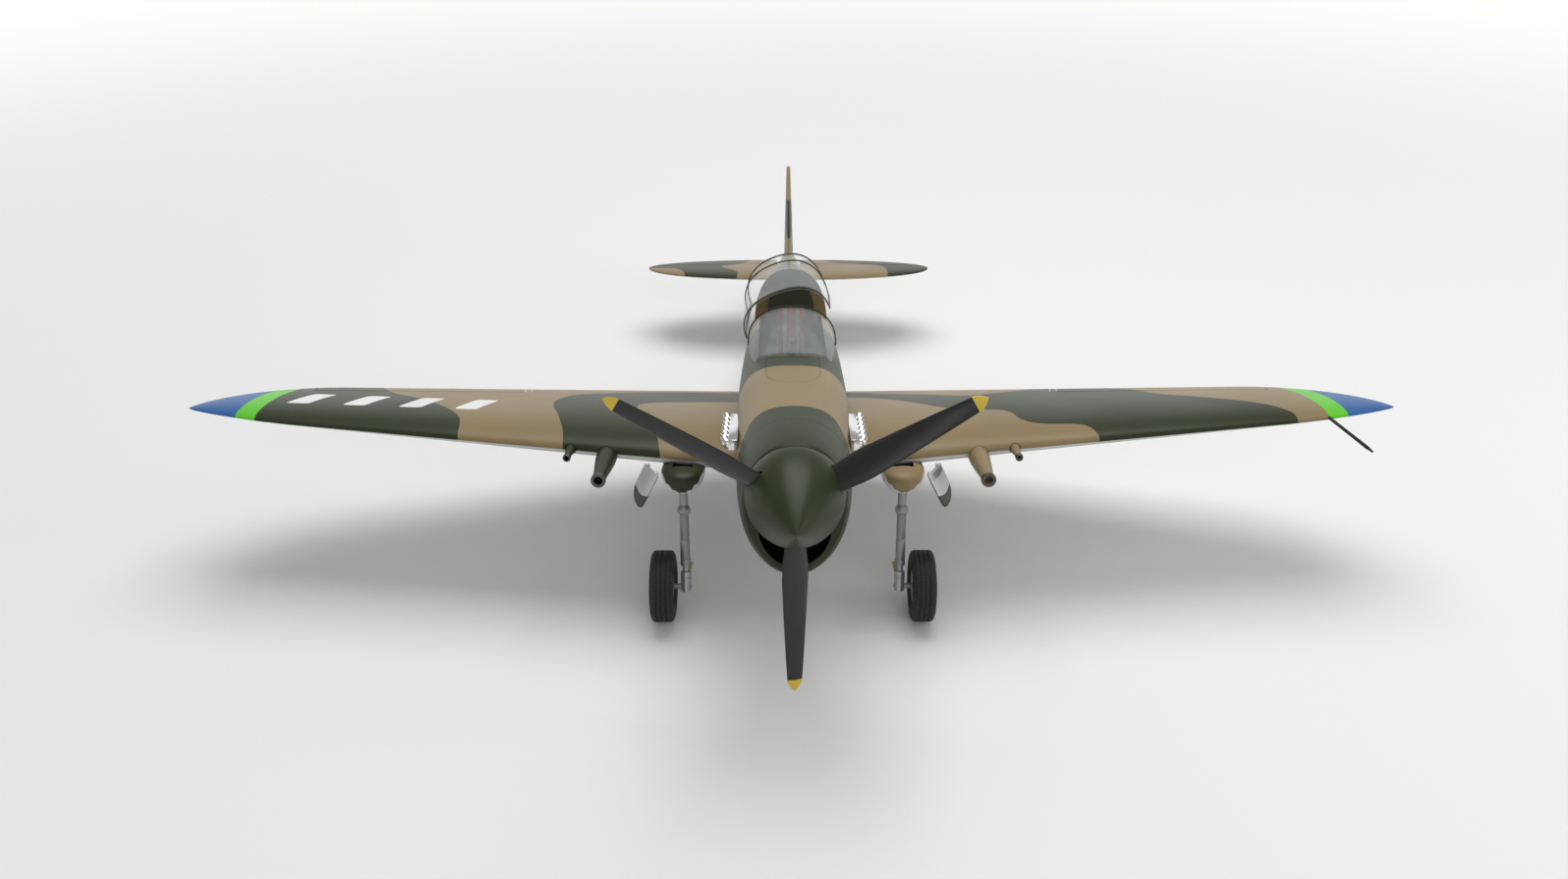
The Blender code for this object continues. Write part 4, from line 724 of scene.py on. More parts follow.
def spinner_radius(aft, grow=0.0):
    share = max(0.0, (aft + SPINNER_NOSE) / (SPINNER_BACK + SPINNER_NOSE))
    return max(0.0, SPINNER_R * (1 - (1 - share) ** 1.75) + grow)


def blade_place(column, share, across, grow, start, tip):
    """One blade hanging down: round root, widest at half its radius, rounded twisted tip."""
    end = tip - start
    reach = start + end * math.sin(share * math.pi / 2) if grow == 0 else start + end * share
    along = (reach - start) / end
    half = between(0.0070, 0.0160, math.sin(min(1.0, along / 0.36) * math.pi / 2))
    half = between(half, 0.0070, max(0.0, along - 0.36) / 0.64)
    thick = between(0.0063, 0.0016, min(1.0, along * 1.6))
    closing = max(0.0, (along - 0.93) / 0.07)
    half = between(half, 0.0004, closing**2.2) if grow == 0 else half
    thick = between(thick, 0.0004, closing**2.2) if grow == 0 else thick
    twist = math.radians(between(48, 16, along))
    angle = 2 * math.pi * column / across
    chord = (half + grow) * math.cos(angle)
    depth = (thick + grow) * math.sin(angle) * (1 + 0.25 * math.cos(angle))
    return Vector(
        (
            chord * math.cos(twist) - depth * math.sin(twist),
            chord * math.sin(twist) + depth * math.cos(twist),
            -reach,
        )
    )


def blade_bm(number, grow=0.0, start=0.0075, tip=PROP_R - 0.0006, across=32, along=64):
    bm = skin(across, along, lambda i, share: blade_place(i, share, across, grow, start, tip))
    turn = Matrix.Rotation(2 * math.pi * number / 3, 4, "Y")
    bmesh.ops.transform(bm, matrix=turn, verts=bm.verts)
    return bm


outside = [between(-SPINNER_NOSE, SPINNER_BACK, (k / 48) ** 1.3) for k in range(49)]
spinner_profile = [(aft, spinner_radius(aft)) for aft in outside]
spinner_profile += [(aft, spinner_radius(aft, -0.0016)) for aft in reversed(outside[9:])]
spinner_profile.append((-SPINNER_NOSE + 0.008, 0.0))
spinner_shell = carved(
    turned(spinner_profile, (0, 0, 0), (0, 1, 0), 96),
    OLIVE_PAINT,
    *[("DIFFERENCE", blade_bm(k, 0.0012, 0.0075, 0.08, 24, 24), NYLON) for k in range(3)],
)
keep("spinner_shell", spinner_shell, OLIVE_PAINT, "propeller_group", ["spinner"])
plate_r = spinner_radius(0.0120, -0.0016) - 3 * GAP
plate = turned(
    ((0.0120, 0.0033), (0.0120, plate_r - 0.0008), (0.0126, plate_r), (0.0157, plate_r), (0.0157, 0.0033)),
    (0, 0, 0),
    (0, 1, 0),
    96,
)
keep("backplate", plate, NYLON, "propeller_group", ["spinner_backplate"])


# Propeller: three blades and a hub moulded as one in glass-filled nylon, with yellow
# painted tips. A nut and washer on the motor shaft clamp the hub.
def tip_material():
    made = bpy.data.materials.new("blade_with_yellow_tip")
    made.use_nodes = True
    tree = made.node_tree
    paint = mix_paint(tree, read_field(tree, "tip"), (0.0065, 0.0065, 0.0070, 1), (0.66, 0.46, 0.022, 1))
    weather(tree, tree.nodes["Principled BSDF"], paint, 20.0, 0.5, 0.08, 0.30)
    return made


BLADE_PAINT = tip_material()


def tip_field(places):
    return {"tip": np.hypot(places[:, 0], places[:, 2]) - 0.1925}


hub = turned(
    ((-0.0100, 0.0033), (-0.0100, 0.0110), (-0.0085, 0.0135), (0.0115, 0.0135), (0.0115, 0.0033)),
    (0, 0, 0),
    (0, 1, 0),
    64,
)
blades = carved(hub, BLADE_PAINT, *[("UNION", blade_bm(k), None) for k in range(3)])
keep(
    "propeller_blades", blades, BLADE_PAINT, "propeller_group", ["propeller"], tip_field
)
nut = gathered(
    rod((0, -0.0112, 0), (0, -0.0102, 0), 0.0070, 40),
    rod((0, -0.0160, 0), (0, -0.0113, 0), 0.0052, 6),
)
STEEL = finish_material("bright_steel", (0.45, 0.45, 0.46, 1), 0.28, 1.0, 60.0, 0.4, 0.1)
keep("prop_nut", nut, STEEL, "propeller_group", ())


# Motor: an outrunner whose magnet bell turns with the shaft round a fixed stator, on a
# plywood firewall glued across the foam. Windows are cut through the bell; the copper windings behind them
# are not drawn.
bell_metal = finish_material("bell_anodising", (0.035, 0.036, 0.040, 1), 0.30, 0.9, 30.0, 0.4, 0.08)
bell_profile = (
    (-0.0340, 0.0),
    (-0.0340, 0.0024),
    (-0.0334, 0.0030),
    (0.0300, 0.0030),
    (0.0310, 0.0100),
    (0.0340, 0.0170),
    (0.0380, 0.0207),
    (0.0390, 0.0210),
    (0.0660, 0.0210),
    (0.0660, 0.0030),
    (0.0760, 0.0030),
    (0.0760, 0.0),
)
windows = []
for k in range(8):
    window = round_block((-0.0030, 0.0290, 0.0085), (0.0030, 0.0480, 0.0155), 0.0012, 2)
    turn = Matrix.Rotation(math.pi * k / 4, 4, "Y")
    bmesh.ops.transform(window, matrix=turn, verts=window.verts)
    windows.append(("DIFFERENCE", window, None))
bell = carved(turned(bell_profile, (0, 0, 0), (0, 1, 0), 72), bell_metal, *windows)
keep("motor_bell_shell", bell, bell_metal, "propeller_group", ["motor_bell"])
stator_profile = ((0.0663, 0.0033), (0.0663, 0.0160), (0.0673, 0.0170), (0.0783, 0.0170), (0.0783, 0.0033))
keep(
    "stator_base", turned(stator_profile, (0, 0, 0), (0, 1, 0), 60), STEEL, "airframe", ["motor_stator"],
)


def plywood():
    made = bpy.data.materials.new("birch_plywood")
    made.use_nodes = True
    tree = made.node_tree
    place = shader_node(tree, "ShaderNodeTexCoord").outputs["Object"]
    stretch = shader_node(tree, "ShaderNodeMapping")
    stretch.inputs["Scale"].default_value = (8, 60, 90)
    wire(tree, place, stretch.inputs["Vector"])
    grain = shader_node(tree, "ShaderNodeTexNoise")
    grain.inputs["Scale"].default_value = 2.5
    wire(tree, stretch.outputs["Vector"], grain.inputs["Vector"])
    paint = mix_paint(tree, grain.outputs["Fac"], (0.50, 0.33, 0.17, 1), (0.30, 0.17, 0.075, 1))
    weather(tree, tree.nodes["Principled BSDF"], paint, 25.0, 0.4, 0.3, 0.62)
    return made


BIRCH = plywood()
firewall = carved(
    body_bm(0.0900, 0.0960, -WALL - GAP, 64, 0.003),
    BIRCH,
    ("DIFFERENCE", block((-0.1, 0, -0.2), (0.1, 0.2, -0.0450)), None),
    ("UNION", rod((0, 0.0786, 0), (0, 0.0930, 0), 0.0150, 48), None),
    *[
        ("DIFFERENCE", rod((x, 0.08, z), (x, 0.10, z), 0.0022, 20), None) for x in (-0.028, 0.028)
        for z in (-0.02, 0.02)
    ],
)
keep("firewall_plate", firewall, BIRCH, "airframe", ["motor_mount"])


# Wings: moulded foam halves slid over a carbon joiner, painted over a smooth skin, with
# bays for the flap, the aileron, the wheel, the leg and the aileron servo. Each is cut
# to the body's side; no fillet is drawn where they meet.
SEMI_SPAN = 0.7000
LEG_X = 0.1230
LEG_Y = 0.2090
WELL_X = 0.1255
WELL_Y = 0.3390
WELL_R = 0.0530
WELL_TOP = -0.0270
SIDES = (("left", 1), ("right", -1))
GUNS = (
    ("large", 0.2090, -0.0375, 0.0115, 0.1480),
    ("small", 0.2500, -0.0300, 0.0062, 0.1970),
)
LEFT_DARK = (
    (
        (0.00, 0.485), (0.08, 0.475), (0.12, 0.447), (0.157, 0.435), (0.192, 0.415), (0.225, 0.405),
        (0.262, 0.425), (0.30, 0.455), (0.33, 0.52), (0.40, 0.52), (0.41, 0.455), (0.43, 0.42),
        (0.445, 0.375), (0.484, 0.344), (0.538, 0.309), (0.569, 0.278), (0.577, 0.250), (0.572, 0.15),
        (0.50, 0.12), (0.36, 0.15), (0.350, 0.215), (0.342, 0.246), (0.327, 0.258), (0.286, 0.262),
        (0.265, 0.275), (0.252, 0.308), (0.214, 0.318), (0.181, 0.330), (0.159, 0.352), (0.12, 0.39),
        (0.08, 0.41), (0.00, 0.415),
    ),
)
RIGHT_DARK = (
    (
        (-0.90, 0.10), (-0.90, 0.55), (-0.56, 0.52), (-0.515, 0.42), (-0.486, 0.372), (-0.457, 0.35),
        (-0.428, 0.326), (-0.388, 0.281), (-0.378, 0.23), (-0.378, 0.10), (-0.60, 0.02),
    ),
    (
        (0.00, 0.463), (-0.07, 0.463), (-0.135, 0.468), (-0.197, 0.452), (-0.238, 0.427),
        (-0.27, 0.405), (-0.286, 0.36), (-0.284, 0.325), (-0.270, 0.28), (-0.258, 0.22),
        (-0.262, 0.10), (-0.145, 0.10), (-0.153, 0.24), (-0.170, 0.277), (-0.185, 0.32),
        (-0.178, 0.354), (-0.128, 0.369), (-0.068, 0.377), (0.00, 0.38),
    ),
)


def wing_values(span):
    """Leading edge, trailing edge, their heights and the half thickness scale at a span."""
    lead = 0.2030 + 0.0880 * span
    trail = 0.5620 - 0.2620 * span
    middle, half = (lead + trail) / 2, (trail - lead) / 2
    past = max(0.0, (span - 0.5600) / (SEMI_SPAN - 0.5600))
    shrink = math.sqrt(max(0.0004, 1 - past * past))
    tip_middle = (0.2030 + 0.0880 * SEMI_SPAN + 0.5620 - 0.2620 * SEMI_SPAN) / 2
    middle += (0.2880 - tip_middle) * (1 - shrink)
    half *= shrink
    low, high = -0.0450 + 0.0640 * span, -0.0700 + 0.0960 * span
    thick = between(0.1500, 0.0950, span / SEMI_SPAN) * 10 * half
    return middle - half, middle + half, low, high, thick


def wing_point(side, span, chord, over, grow=0.0):
    """A point of the wing at a share of its chord: over is 1 on top, -1 below."""
    lead, trail, low, high, thick = wing_values(span)
    shape = 0.2969 * math.sqrt(chord) - 0.126 * chord - 0.3516 * chord**2
    shape += 0.2843 * chord**3 - 0.1036 * chord**4 + 0.006 * chord
    bow = 0.0800 * chord * (1 - chord) * (trail - lead)
    rise = over * (thick * shape + grow)
    return Vector((side * span, between(lead, trail, chord), between(low, high, chord) + bow + rise))


def wing_bm(side, root=0.0300, tip=SEMI_SPAN, grow=0.0, across=112, along=150):
    columns = across + 1

    def place(column, share):
        span = between(root, tip, math.sin(share * math.pi / 2) if tip == SEMI_SPAN else share)
        if column == 0:
            return wing_point(side, span, 1.0, -1, grow) + Vector((0, grow, 0))
        turn = 2 * math.pi * (column - 1) / across
        chord = (1 + math.cos(turn)) / 2
        over = 1 if turn < math.pi - 1e-6 else -1
        point = wing_point(side, span, chord, over, grow)
        if chord < 1e-9:
            point += Vector((0, -grow, grow if grow else 0))
        if chord > 1 - 1e-9:
            point.y += grow
        return point

    return skin(columns, along, place)


WING_BARS = (-0.5700, -0.5050, -0.4400, -0.3750)
BAR_HALF = 0.0130


def wing_fields(places):
    """Camouflage in plan, banded tips and the pale underside below the wing's middle."""
    plan = places[:, :2]
    dark = np.max([patch(plan, corners) for corners in (*LEFT_DARK, *RIGHT_DARK)], axis=0)
    span = np.abs(places[:, 0])
    line = []
    for x, y, _ in places:
        lead, trail, low, high, _ = wing_values(min(abs(x), SEMI_SPAN))
        chord = min(1.0, max(0.0, (y - lead) / max(1e-6, trail - lead)))
        line.append(between(low, high, chord) + 0.08 * chord * (1 - chord) * (trail - lead))
    slant = span + 0.06 * (places[:, 1] - 0.288)
    belly = np.array(line) - 0.0016 - places[:, 2]
    belly = np.where(span > 0.600, np.minimum(belly, 0.6 - span), belly)
    slid = plan[:, 0] - 0.40 * (plan[:, 1] - 0.3240)
    bars = BAR_HALF - np.min([np.abs(slid - middle) for middle in WING_BARS], axis=0)
    bars = np.minimum(bars, 0.0230 - np.abs(plan[:, 1] - 0.3240))
    return {"sand": -dark, "belly": belly, "bars": bars, "green": slant - BAND_IN, "blue": slant - BAND_OUT}


def hinge_frame(side, inner, outer, over, lift=0.0):
    """A hinge line at 77 % chord with its aft and up directions."""
    ends = []
    for span in (inner, outer):
        top, low = wing_point(side, span, 0.77, 1), wing_point(side, span, 0.77, -1)
        ends.append((low if over < 0 else (top + low) / 2) + Vector((0, 0, lift)))
    along = (ends[1] - ends[0]).normalized()
    aft = Vector((0, 0, 1)).cross(along)
    aft = (aft if aft.y > 0 else -aft).normalized()
    up = along.cross(aft)
    return ends, along, aft, up if up.z > 0 else -up


def hinged_bm(frame_of, outline, trim=0.0):
    (start, end), along, aft, up = frame_of
    points = [start + along * trim + aft * a + up * u for a, u in outline]
    return drawn(points, end - start - along * 2 * trim)


BAY = ((-0.0003, -0.06), (0.16, -0.06), (0.16, 0.06), (-0.0003, 0.06))
BEVEL_BACK = 0.06 * math.tan(math.radians(27))
LEAF = (
    (0.0003, 0.0), (0.0003 + BEVEL_BACK, -0.06), (0.16, -0.06), (0.16, 0.06), (0.0003 + BEVEL_BACK, 0.06)
)
FLAP_LEAF = ((0.0003, -0.06), (0.16, -0.06), (0.16, 0.06), (0.0003, 0.06))
for name, side in SIDES:
    aileron_frame = hinge_frame(side, 0.336, 0.585, 0)
    flap_frame = hinge_frame(side, 0.076, 0.330, -1, -0.0005)
    leg = side * LEG_X
    well_x = side * WELL_X
    servo = wing_point(side, 0.43, 0.42, -1)
    steps = [
        ("DIFFERENCE", body_bm(COWL_BACK - 0.02, BODY_BACK, GAP, 96, 0.012), None),
        ("DIFFERENCE", hinged_bm(aileron_frame, BAY), None),
        ("DIFFERENCE", hinged_bm(flap_frame, BAY), None),
        ("DIFFERENCE", rod((well_x, WELL_Y, -0.2), (well_x, WELL_Y, WELL_TOP), WELL_R, 72), BAY_PAINT),
        ("DIFFERENCE", block((leg - 0.0115, 0.190, -0.12), (leg + 0.0115, 0.360, -0.0525)), BAY_PAINT),
        ("DIFFERENCE", block((leg - 0.0115, 0.190, -0.12), (leg + 0.0115, 0.252, -0.0455)), BAY_PAINT),
        (
            "DIFFERENCE",
            block(servo + Vector((-0.0118, -0.0113, -0.02)), servo + Vector((0.0118, 0.0113, 0.0125))),
            BAY_PAINT,
        ),
    ]
    for gun, x, z, radius, muzzle in GUNS:
        back = 0.2030 + 0.0880 * x + 0.0250 + GAP
        steps.append(("DIFFERENCE", rod((side * x, muzzle, z), (side * x, back, z), radius + GAP, 40), None))
    skin_mesh = carved(wing_bm(side), WING_PAINT, *steps)
    keep(
        f"wing_skin_{name}", skin_mesh, WING_PAINT, "airframe", [f"wing_{name}"],
        wing_fields, 30
    )
    leaf = carved(wing_bm(side), WING_PAINT, ("INTERSECT", hinged_bm(aileron_frame, LEAF, 0.001), None))
    keep(
        f"aileron_leaf_{name}", leaf, WING_PAINT, f"aileron_{name}_surface", [f"aileron_{name}"],
        wing_fields, 30,
    )
    leaf = carved(wing_bm(side), WING_PAINT, ("INTERSECT", hinged_bm(flap_frame, FLAP_LEAF, 0.001), None))
    keep(
        f"flap_leaf_{name}", leaf, WING_PAINT, f"flap_{name}_surface", [f"flap_{name}"],
        wing_fields, 30,
    )


# Gun barrels: hollow tapered plastic tubes plugged into the leading edge, painted with
# the wing and ringed by a bare metal muzzle.
def sided_fields(places):
    """One flat camouflage colour, by side of the plane."""
    never = np.full(len(places), -1.0)
    return {"sand": places[:, 0], "belly": never, "blue": never, "green": never}


MUZZLE = finish_material("muzzle_metal", (0.12, 0.12, 0.115, 1), 0.35, 1.0, 60.0, 0.5, 0.15)
for name, side in SIDES:
    for gun, x, z, radius, muzzle in GUNS:
        length = 0.2030 + 0.0880 * x + 0.0250 - muzzle
        barrel = (
            (0.0120, 0.0),
            (0.0120, radius * 0.36),
            (0.0008, radius * 0.38),
            (0.0008, radius * 0.60),
            (0.0160, radius * 0.64),
            (length * 0.45, radius * 0.86),
            (length * 0.66, radius * 0.99),
            (length, radius),
            (length, 0.0),
        )
        shape = turned(barrel, (side * x, muzzle, z), (0, 1, 0), 48)
        keep(
            f"{gun}_barrel_{name}", shape, CAMOUFLAGE, "airframe", [f"gun_{gun}_{name}"],
            sided_fields
        )
        ring = (
            (0.0000, radius * 0.44),
            (0.0000, radius * 0.64),
            (0.0006, radius * 0.70),
            (0.0040, radius * 0.70),
            (0.0046, radius * 0.63),
            (0.0030, radius * 0.40),
            (0.0006, radius * 0.40),
        )
        keep(f"{gun}_muzzle_{name}", turned(ring, (side * x, muzzle, z), (0, 1, 0), 48), MUZZLE, "airframe")

# Pitot tube: a thin black rod with a turned tip, plugged into the left wing's edge.
pitot_x, pitot_tip = 0.6150, 0.1480
pitot_z = wing_point(1, pitot_x, 0.06, 0).z
pitot_profile = (
    (0.0000, 0.0),
    (0.0000, 0.0007),
    (0.0006, 0.0012),
    (0.0100, 0.0015),
    (0.0110, 0.0019),
    (0.0860, 0.0019),
    (0.1290, 0.0019),
    (0.1290, 0.0),
)
BLACK = finish_material("black_plastic", (0.010, 0.010, 0.011, 1), 0.38, 0.0, 30.0, 0.5, 0.12)
pitot = turned(pitot_profile, (pitot_x, pitot_tip, pitot_z), (0, 1, 0), 32)
keep("pitot_rod", pitot, BLACK, "airframe", ["pitot_tube"])


DOOR_TOE = 0.4700


# Gear fairings: moulded bullets under the leading edge, slotted for the legs, in the
# wing's colour above a pale scalloped lip.
PIVOT_Z = -0.0620
FAIRING_Z = -0.0505
FAIRING_R = 0.0245


def fairing_fields(places):
    never = np.full(len(places), -1.0)
    out = np.abs(np.abs(places[:, 0]) - LEG_X)
    lip = -0.0690 + 0.0225 * (out / FAIRING_R) ** 1.6 + 0.0016 * np.cos(out * 900) - places[:, 2]
    return {"sand": places[:, 0], "belly": lip, "blue": never, "green": never}


bullet = [(0.0, 0.0)]
for k in range(1, 41):
    share = (k / 40) ** 1.5
    if share < 0.22:
        radius = FAIRING_R * math.sqrt(1 - (1 - share / 0.22) ** 2)
    else:
        radius = FAIRING_R * max(0.0, math.cos((share - 0.22) / 0.78 * math.pi / 2)) ** 0.8
    bullet.append((share * 0.150, radius if k < 40 else 0.0))
for name, side in SIDES:
    leg = side * LEG_X
    bulge = turned(bullet, (leg, 0.1800, FAIRING_Z), (0, 1, 0), 64)
    for point in bulge.verts:
        point.co.z -= 0.6 * max(0.0, point.co.z - FAIRING_Z)
    pod = carved(
        bulge,
        CAMOUFLAGE,
        ("DIFFERENCE", block((leg - 0.0115, 0.2025, -0.12), (leg + 0.0115, 0.4, -0.03)), BAY_PAINT),
        ("DIFFERENCE", block((leg - 0.03, 0.275, -0.12), (leg + 0.03, 0.4, 0.0)), BAY_PAINT),
        ("DIFFERENCE", wing_bm(side, grow=GAP), None),
    )
    keep(
        f"fairing_{name}", pod, CAMOUFLAGE, "airframe", [f"gear_fairing_{name}"],
        fairing_fields
    )


# Main legs: machined alloy oleo legs. A trunnion barrel turns in the retract unit's
# cheeks, the cylinder turns below it under a swelled collar, and a sliding piston with
# scissor links carries the stub axle.
KNUCKLE_Z = -0.0920
CYLINDER_END = -0.1650
AXLE_Z = -0.1918
ALLOY = finish_material("satin_alloy", (0.30, 0.31, 0.32, 1), 0.42, 0.75, 45.0, 0.5, 0.12)
BRIGHT = finish_material("polished_piston", (0.42, 0.42, 0.44, 1), 0.28, 0.9, 60.0, 0.3, 0.04)
BRASS = finish_material("gold_anodised_link", (0.50, 0.42, 0.22, 1), 0.35, 0.8, 60.0, 0.5, 0.1)
RIM = finish_material("cast_rim", (0.42, 0.43, 0.43, 1), 0.38, 0.6, 50.0, 0.6, 0.15)
TYRE_STAND = 0.0416 * math.cos(math.pi / 24)


def rubber(name, centre, lugs):
    """Tyre rubber with a soft bloom and, round the tread, fine moulded cuts."""
    made = bpy.data.materials.new(name)
    made.use_nodes = True
    tree = made.node_tree
    shader = tree.nodes["Principled BSDF"]
    weather(tree, shader, (0.013, 0.013, 0.014, 1), 30.0, 0.8, 0.5, 0.72)
    place = shader_node(tree, "ShaderNodeTexCoord").outputs["Object"]
    about = shader_node(tree, "ShaderNodeVectorMath", operation="SUBTRACT")
    about.inputs[1].default_value = centre
    wire(tree, place, about.inputs[0])
    split = shader_node(tree, "ShaderNodeSeparateXYZ")
    wire(tree, about.outputs["Vector"], split.inputs["Vector"])
    turn = shader_node(tree, "ShaderNodeMath", operation="ARCTAN2")
    wire(tree, split.outputs["Y"], turn.inputs[0])
    wire(tree, split.outputs["Z"], turn.inputs[1])
    wave = shader_node(tree, "ShaderNodeMath", operation="MULTIPLY")
    wave.inputs[1].default_value = lugs
    wire(tree, turn.outputs[0], wave.inputs[0])
    cuts = shader_node(tree, "ShaderNodeMath", operation="SINE")
    wire(tree, wave.outputs[0], cuts.inputs[0])
    relief = shader_node(tree, "ShaderNodeBump")
    relief.inputs["Strength"].default_value = 0.35
    relief.inputs["Distance"].default_value = 0.0005
    wire(tree, cuts.outputs[0], relief.inputs["Height"])
    old = shader.inputs["Normal"].links[0].from_node
    wire(tree, old.outputs["Normal"], relief.inputs["Normal"])
    wire(tree, relief.outputs["Normal"], shader.inputs["Normal"])
    return made


def bent_tube(points, radii, sides=24, along=24, hollow=0.0):
    """A tube on a smooth path through points; hollow opens its end by that wall."""
    rows = [(k, *point, radius) for k, (point, radius) in enumerate(zip(points, radii))]
    last = len(rows) - 1
    inward = 3 if hollow else 0

    def centre(at):
        x, y, z, radius = flow(rows, at)
        return Vector((x, y, z)), radius

    def place(column, share):
        step = share * (along + inward)
        at = min(1.0, step / along) * last
        back = max(0.0, step - along)
        middle, radius = centre(at)
        ahead, behind = centre(min(last, at + 0.02))[0], centre(max(0, at - 0.02))[0]
        run = (ahead - behind).normalized()
        if back > 0.5:
            radius -= hollow
            middle = middle - run * max(0.0, back - 1) * radius * 1.6
        first = run.cross(Vector((0.3, 0.2, 1))).normalized()
        angle = 2 * math.pi * column / sides
        return middle + (first * math.cos(angle) + run.cross(first) * math.sin(angle)) * radius

    return skin(sides, along + inward, place)


for name, side in SIDES:
    leg = side * LEG_X
    wheel_x = side * 0.1490
    barrel = (
        (-0.0058, 0.0),
        (-0.0058, 0.0050),
        (-0.0053, 0.0055),
        (0.0053, 0.0055),
        (0.0058, 0.0050),
        (0.0058, 0.0),
    )
    shank = (
        (KNUCKLE_Z + 0.002, 0.0), (KNUCKLE_Z + 0.002, 0.0048), (PIVOT_Z - 0.002, 0.0048),
        (PIVOT_Z - 0.002, 0.0)
    )
    eye = carved(
        turned(barrel, (leg, LEG_Y, PIVOT_Z), (1, 0, 0), 48),
        ALLOY,
        ("UNION", turned(shank, (leg, LEG_Y, 0), (0, 0, 1), 48), None),
        ("UNION", rod((leg - 0.0100, LEG_Y, PIVOT_Z), (leg + 0.0100, LEG_Y, PIVOT_Z), 0.0020, 32), None),
    )
    keep(f"trunnion_barrel_{name}", eye, ALLOY, f"leg_{name}", [f"trunnion_{name}"])

    cylinder = (
        (KNUCKLE_Z + 0.0017, 0.0),
        (KNUCKLE_Z + 0.0017, 0.0048),
        (KNUCKLE_Z + 0.0005, 0.0056),
        (KNUCKLE_Z - 0.0020, 0.0072),
        (KNUCKLE_Z - 0.0030, 0.0074),
        (KNUCKLE_Z - 0.0065, 0.0074),
        (KNUCKLE_Z - 0.0080, 0.0064),
        (KNUCKLE_Z - 0.0098, 0.0053),
        (-0.1310, 0.0053),
        (-0.1315, 0.0050),
        (-0.1325, 0.0050),
        (-0.1330, 0.0055),
        (CYLINDER_END + 0.0085, 0.0055),
        (CYLINDER_END + 0.0080, 0.0052),
        (CYLINDER_END + 0.0070, 0.0052),
        (CYLINDER_END + 0.0065, 0.0055),
        (CYLINDER_END + 0.0005, 0.0055),
        (CYLINDER_END, 0.0050),
        (CYLINDER_END, 0.0038),
        (KNUCKLE_Z - 0.030, 0.0038),
        (KNUCKLE_Z - 0.030, 0.0),
    )
    keep(
        f"oleo_outer_{name}", turned(cylinder, (leg, LEG_Y, 0), (0, 0, 1), 64), ALLOY, f"strut_{name}",
        [f"oleo_cylinder_{name}"],
    )

    piston = (
        (AXLE_Z - 0.0060, 0.0),
        (AXLE_Z - 0.0060, 0.0045),
        (AXLE_Z - 0.0048, 0.0058),
        (AXLE_Z + 0.0120, 0.0058),
        (AXLE_Z + 0.0125, 0.0054),
        (AXLE_Z + 0.0135, 0.0054),
        (AXLE_Z + 0.0140, 0.0058),
        (CYLINDER_END - 0.0070, 0.0056),
        (CYLINDER_END - 0.0066, 0.0035),
        (KNUCKLE_Z - 0.0363, 0.0035),
        (KNUCKLE_Z - 0.0363, 0.0),
    )
    axle_end = wheel_x + side * 0.0080
    foot = carved(
        turned(piston, (leg, LEG_Y, 0), (0, 0, 1), 56),
        BRIGHT,
        ("UNION", rod((leg, LEG_Y, AXLE_Z), (axle_end, LEG_Y, AXLE_Z), 0.0030, 40), ALLOY),
        ("UNION", rod((leg - side * 0.0066, LEG_Y, AXLE_Z), (leg, LEG_Y, AXLE_Z), 0.0022, 6), ALLOY),
    )
    keep(f"piston_rod_{name}", foot, BRIGHT, f"axle_{name}", [f"oleo_piston_{name}"])

    # Scissor links behind the leg keep the piston from turning.
    inward = -side * 0.30
    for part, top, low, body in (
        ("upper", CYLINDER_END + 0.0040, CYLINDER_END - 0.0050, f"strut_{name}"),
        ("lower", AXLE_Z + 0.0080, CYLINDER_END - 0.0068, f"axle_{name}"),
    ):
        arms = []
        apex = Vector((leg + inward * 0.016, LEG_Y + 0.0160, low))
        for across in (-0.0032, 0.0032):
            root = Vector((leg + across + inward * 0.004, LEG_Y + 0.0050, top))
            middle = (root + apex) / 2 + Vector((0, 0.0012, 0))
            route = [root, middle, apex + Vector((across * 0.35, 0, 0))]
            arms.append(bent_tube(route, [0.0013, 0.0011, 0.0012], 16, 14))
        arms.append(rod(apex - Vector((0.0028, 0, 0)), apex + Vector((0.0028, 0, 0)), 0.0014, 24))
        root = Vector((leg + inward * 0.004, LEG_Y + 0.0052, top))
        arms.append(rod(root - Vector((0.0046, 0, 0)), root + Vector((0.0046, 0, 0)), 0.0015, 24))
        keep(f"scissor_{part}_{name}", gathered(*arms), BRASS, body)

    # Wheels: a cast rim with lightening holes, and a rubber tyre with three tread grooves.
    rim = (
        (-0.0100, 0.0033),
        (-0.0100, 0.0090),
        (-0.0062, 0.0105),
        (-0.0062, 0.0205),
        (-0.0095, 0.0218),
        (-0.0100, 0.0225),
        (-0.0100, 0.0240),
        (0.0100, 0.0240),
        (0.0100, 0.0225),
        (0.0094, 0.0216),
        (0.0045, 0.0205),
        (0.0040, 0.0110),
        (0.0100, 0.0078),
        (0.0100, 0.0033),
    )
    holes = []
    for k in range(6):
        angle = math.pi * k / 3
        y, z = LEG_Y + 0.0156 * math.cos(angle), AXLE_Z + 0.0156 * math.sin(angle)
        holes.append(("DIFFERENCE", rod((wheel_x - 0.02, y, z), (wheel_x + 0.02, y, z), 0.0031, 24), None))
    hub = carved(turned(rim, (wheel_x, LEG_Y, AXLE_Z), (side, 0, 0), 72), RIM, *holes)
    keep(f"rim_{name}", hub, RIM, f"wheel_{name}", [f"wheel_hub_{name}"])
    nut_out = wheel_x + side * 0.0100
    cap = gathered(
        rod((nut_out, LEG_Y, AXLE_Z), (nut_out + side * 0.0008, LEG_Y, AXLE_Z), 0.0052, 32),
        rod((nut_out + side * 0.0008, LEG_Y, AXLE_Z), (nut_out + side * 0.0032, LEG_Y, AXLE_Z), 0.0034, 6),
    )
    keep(f"axle_nut_{name}", cap, STEEL, f"wheel_{name}")
    R = TYRE_STAND
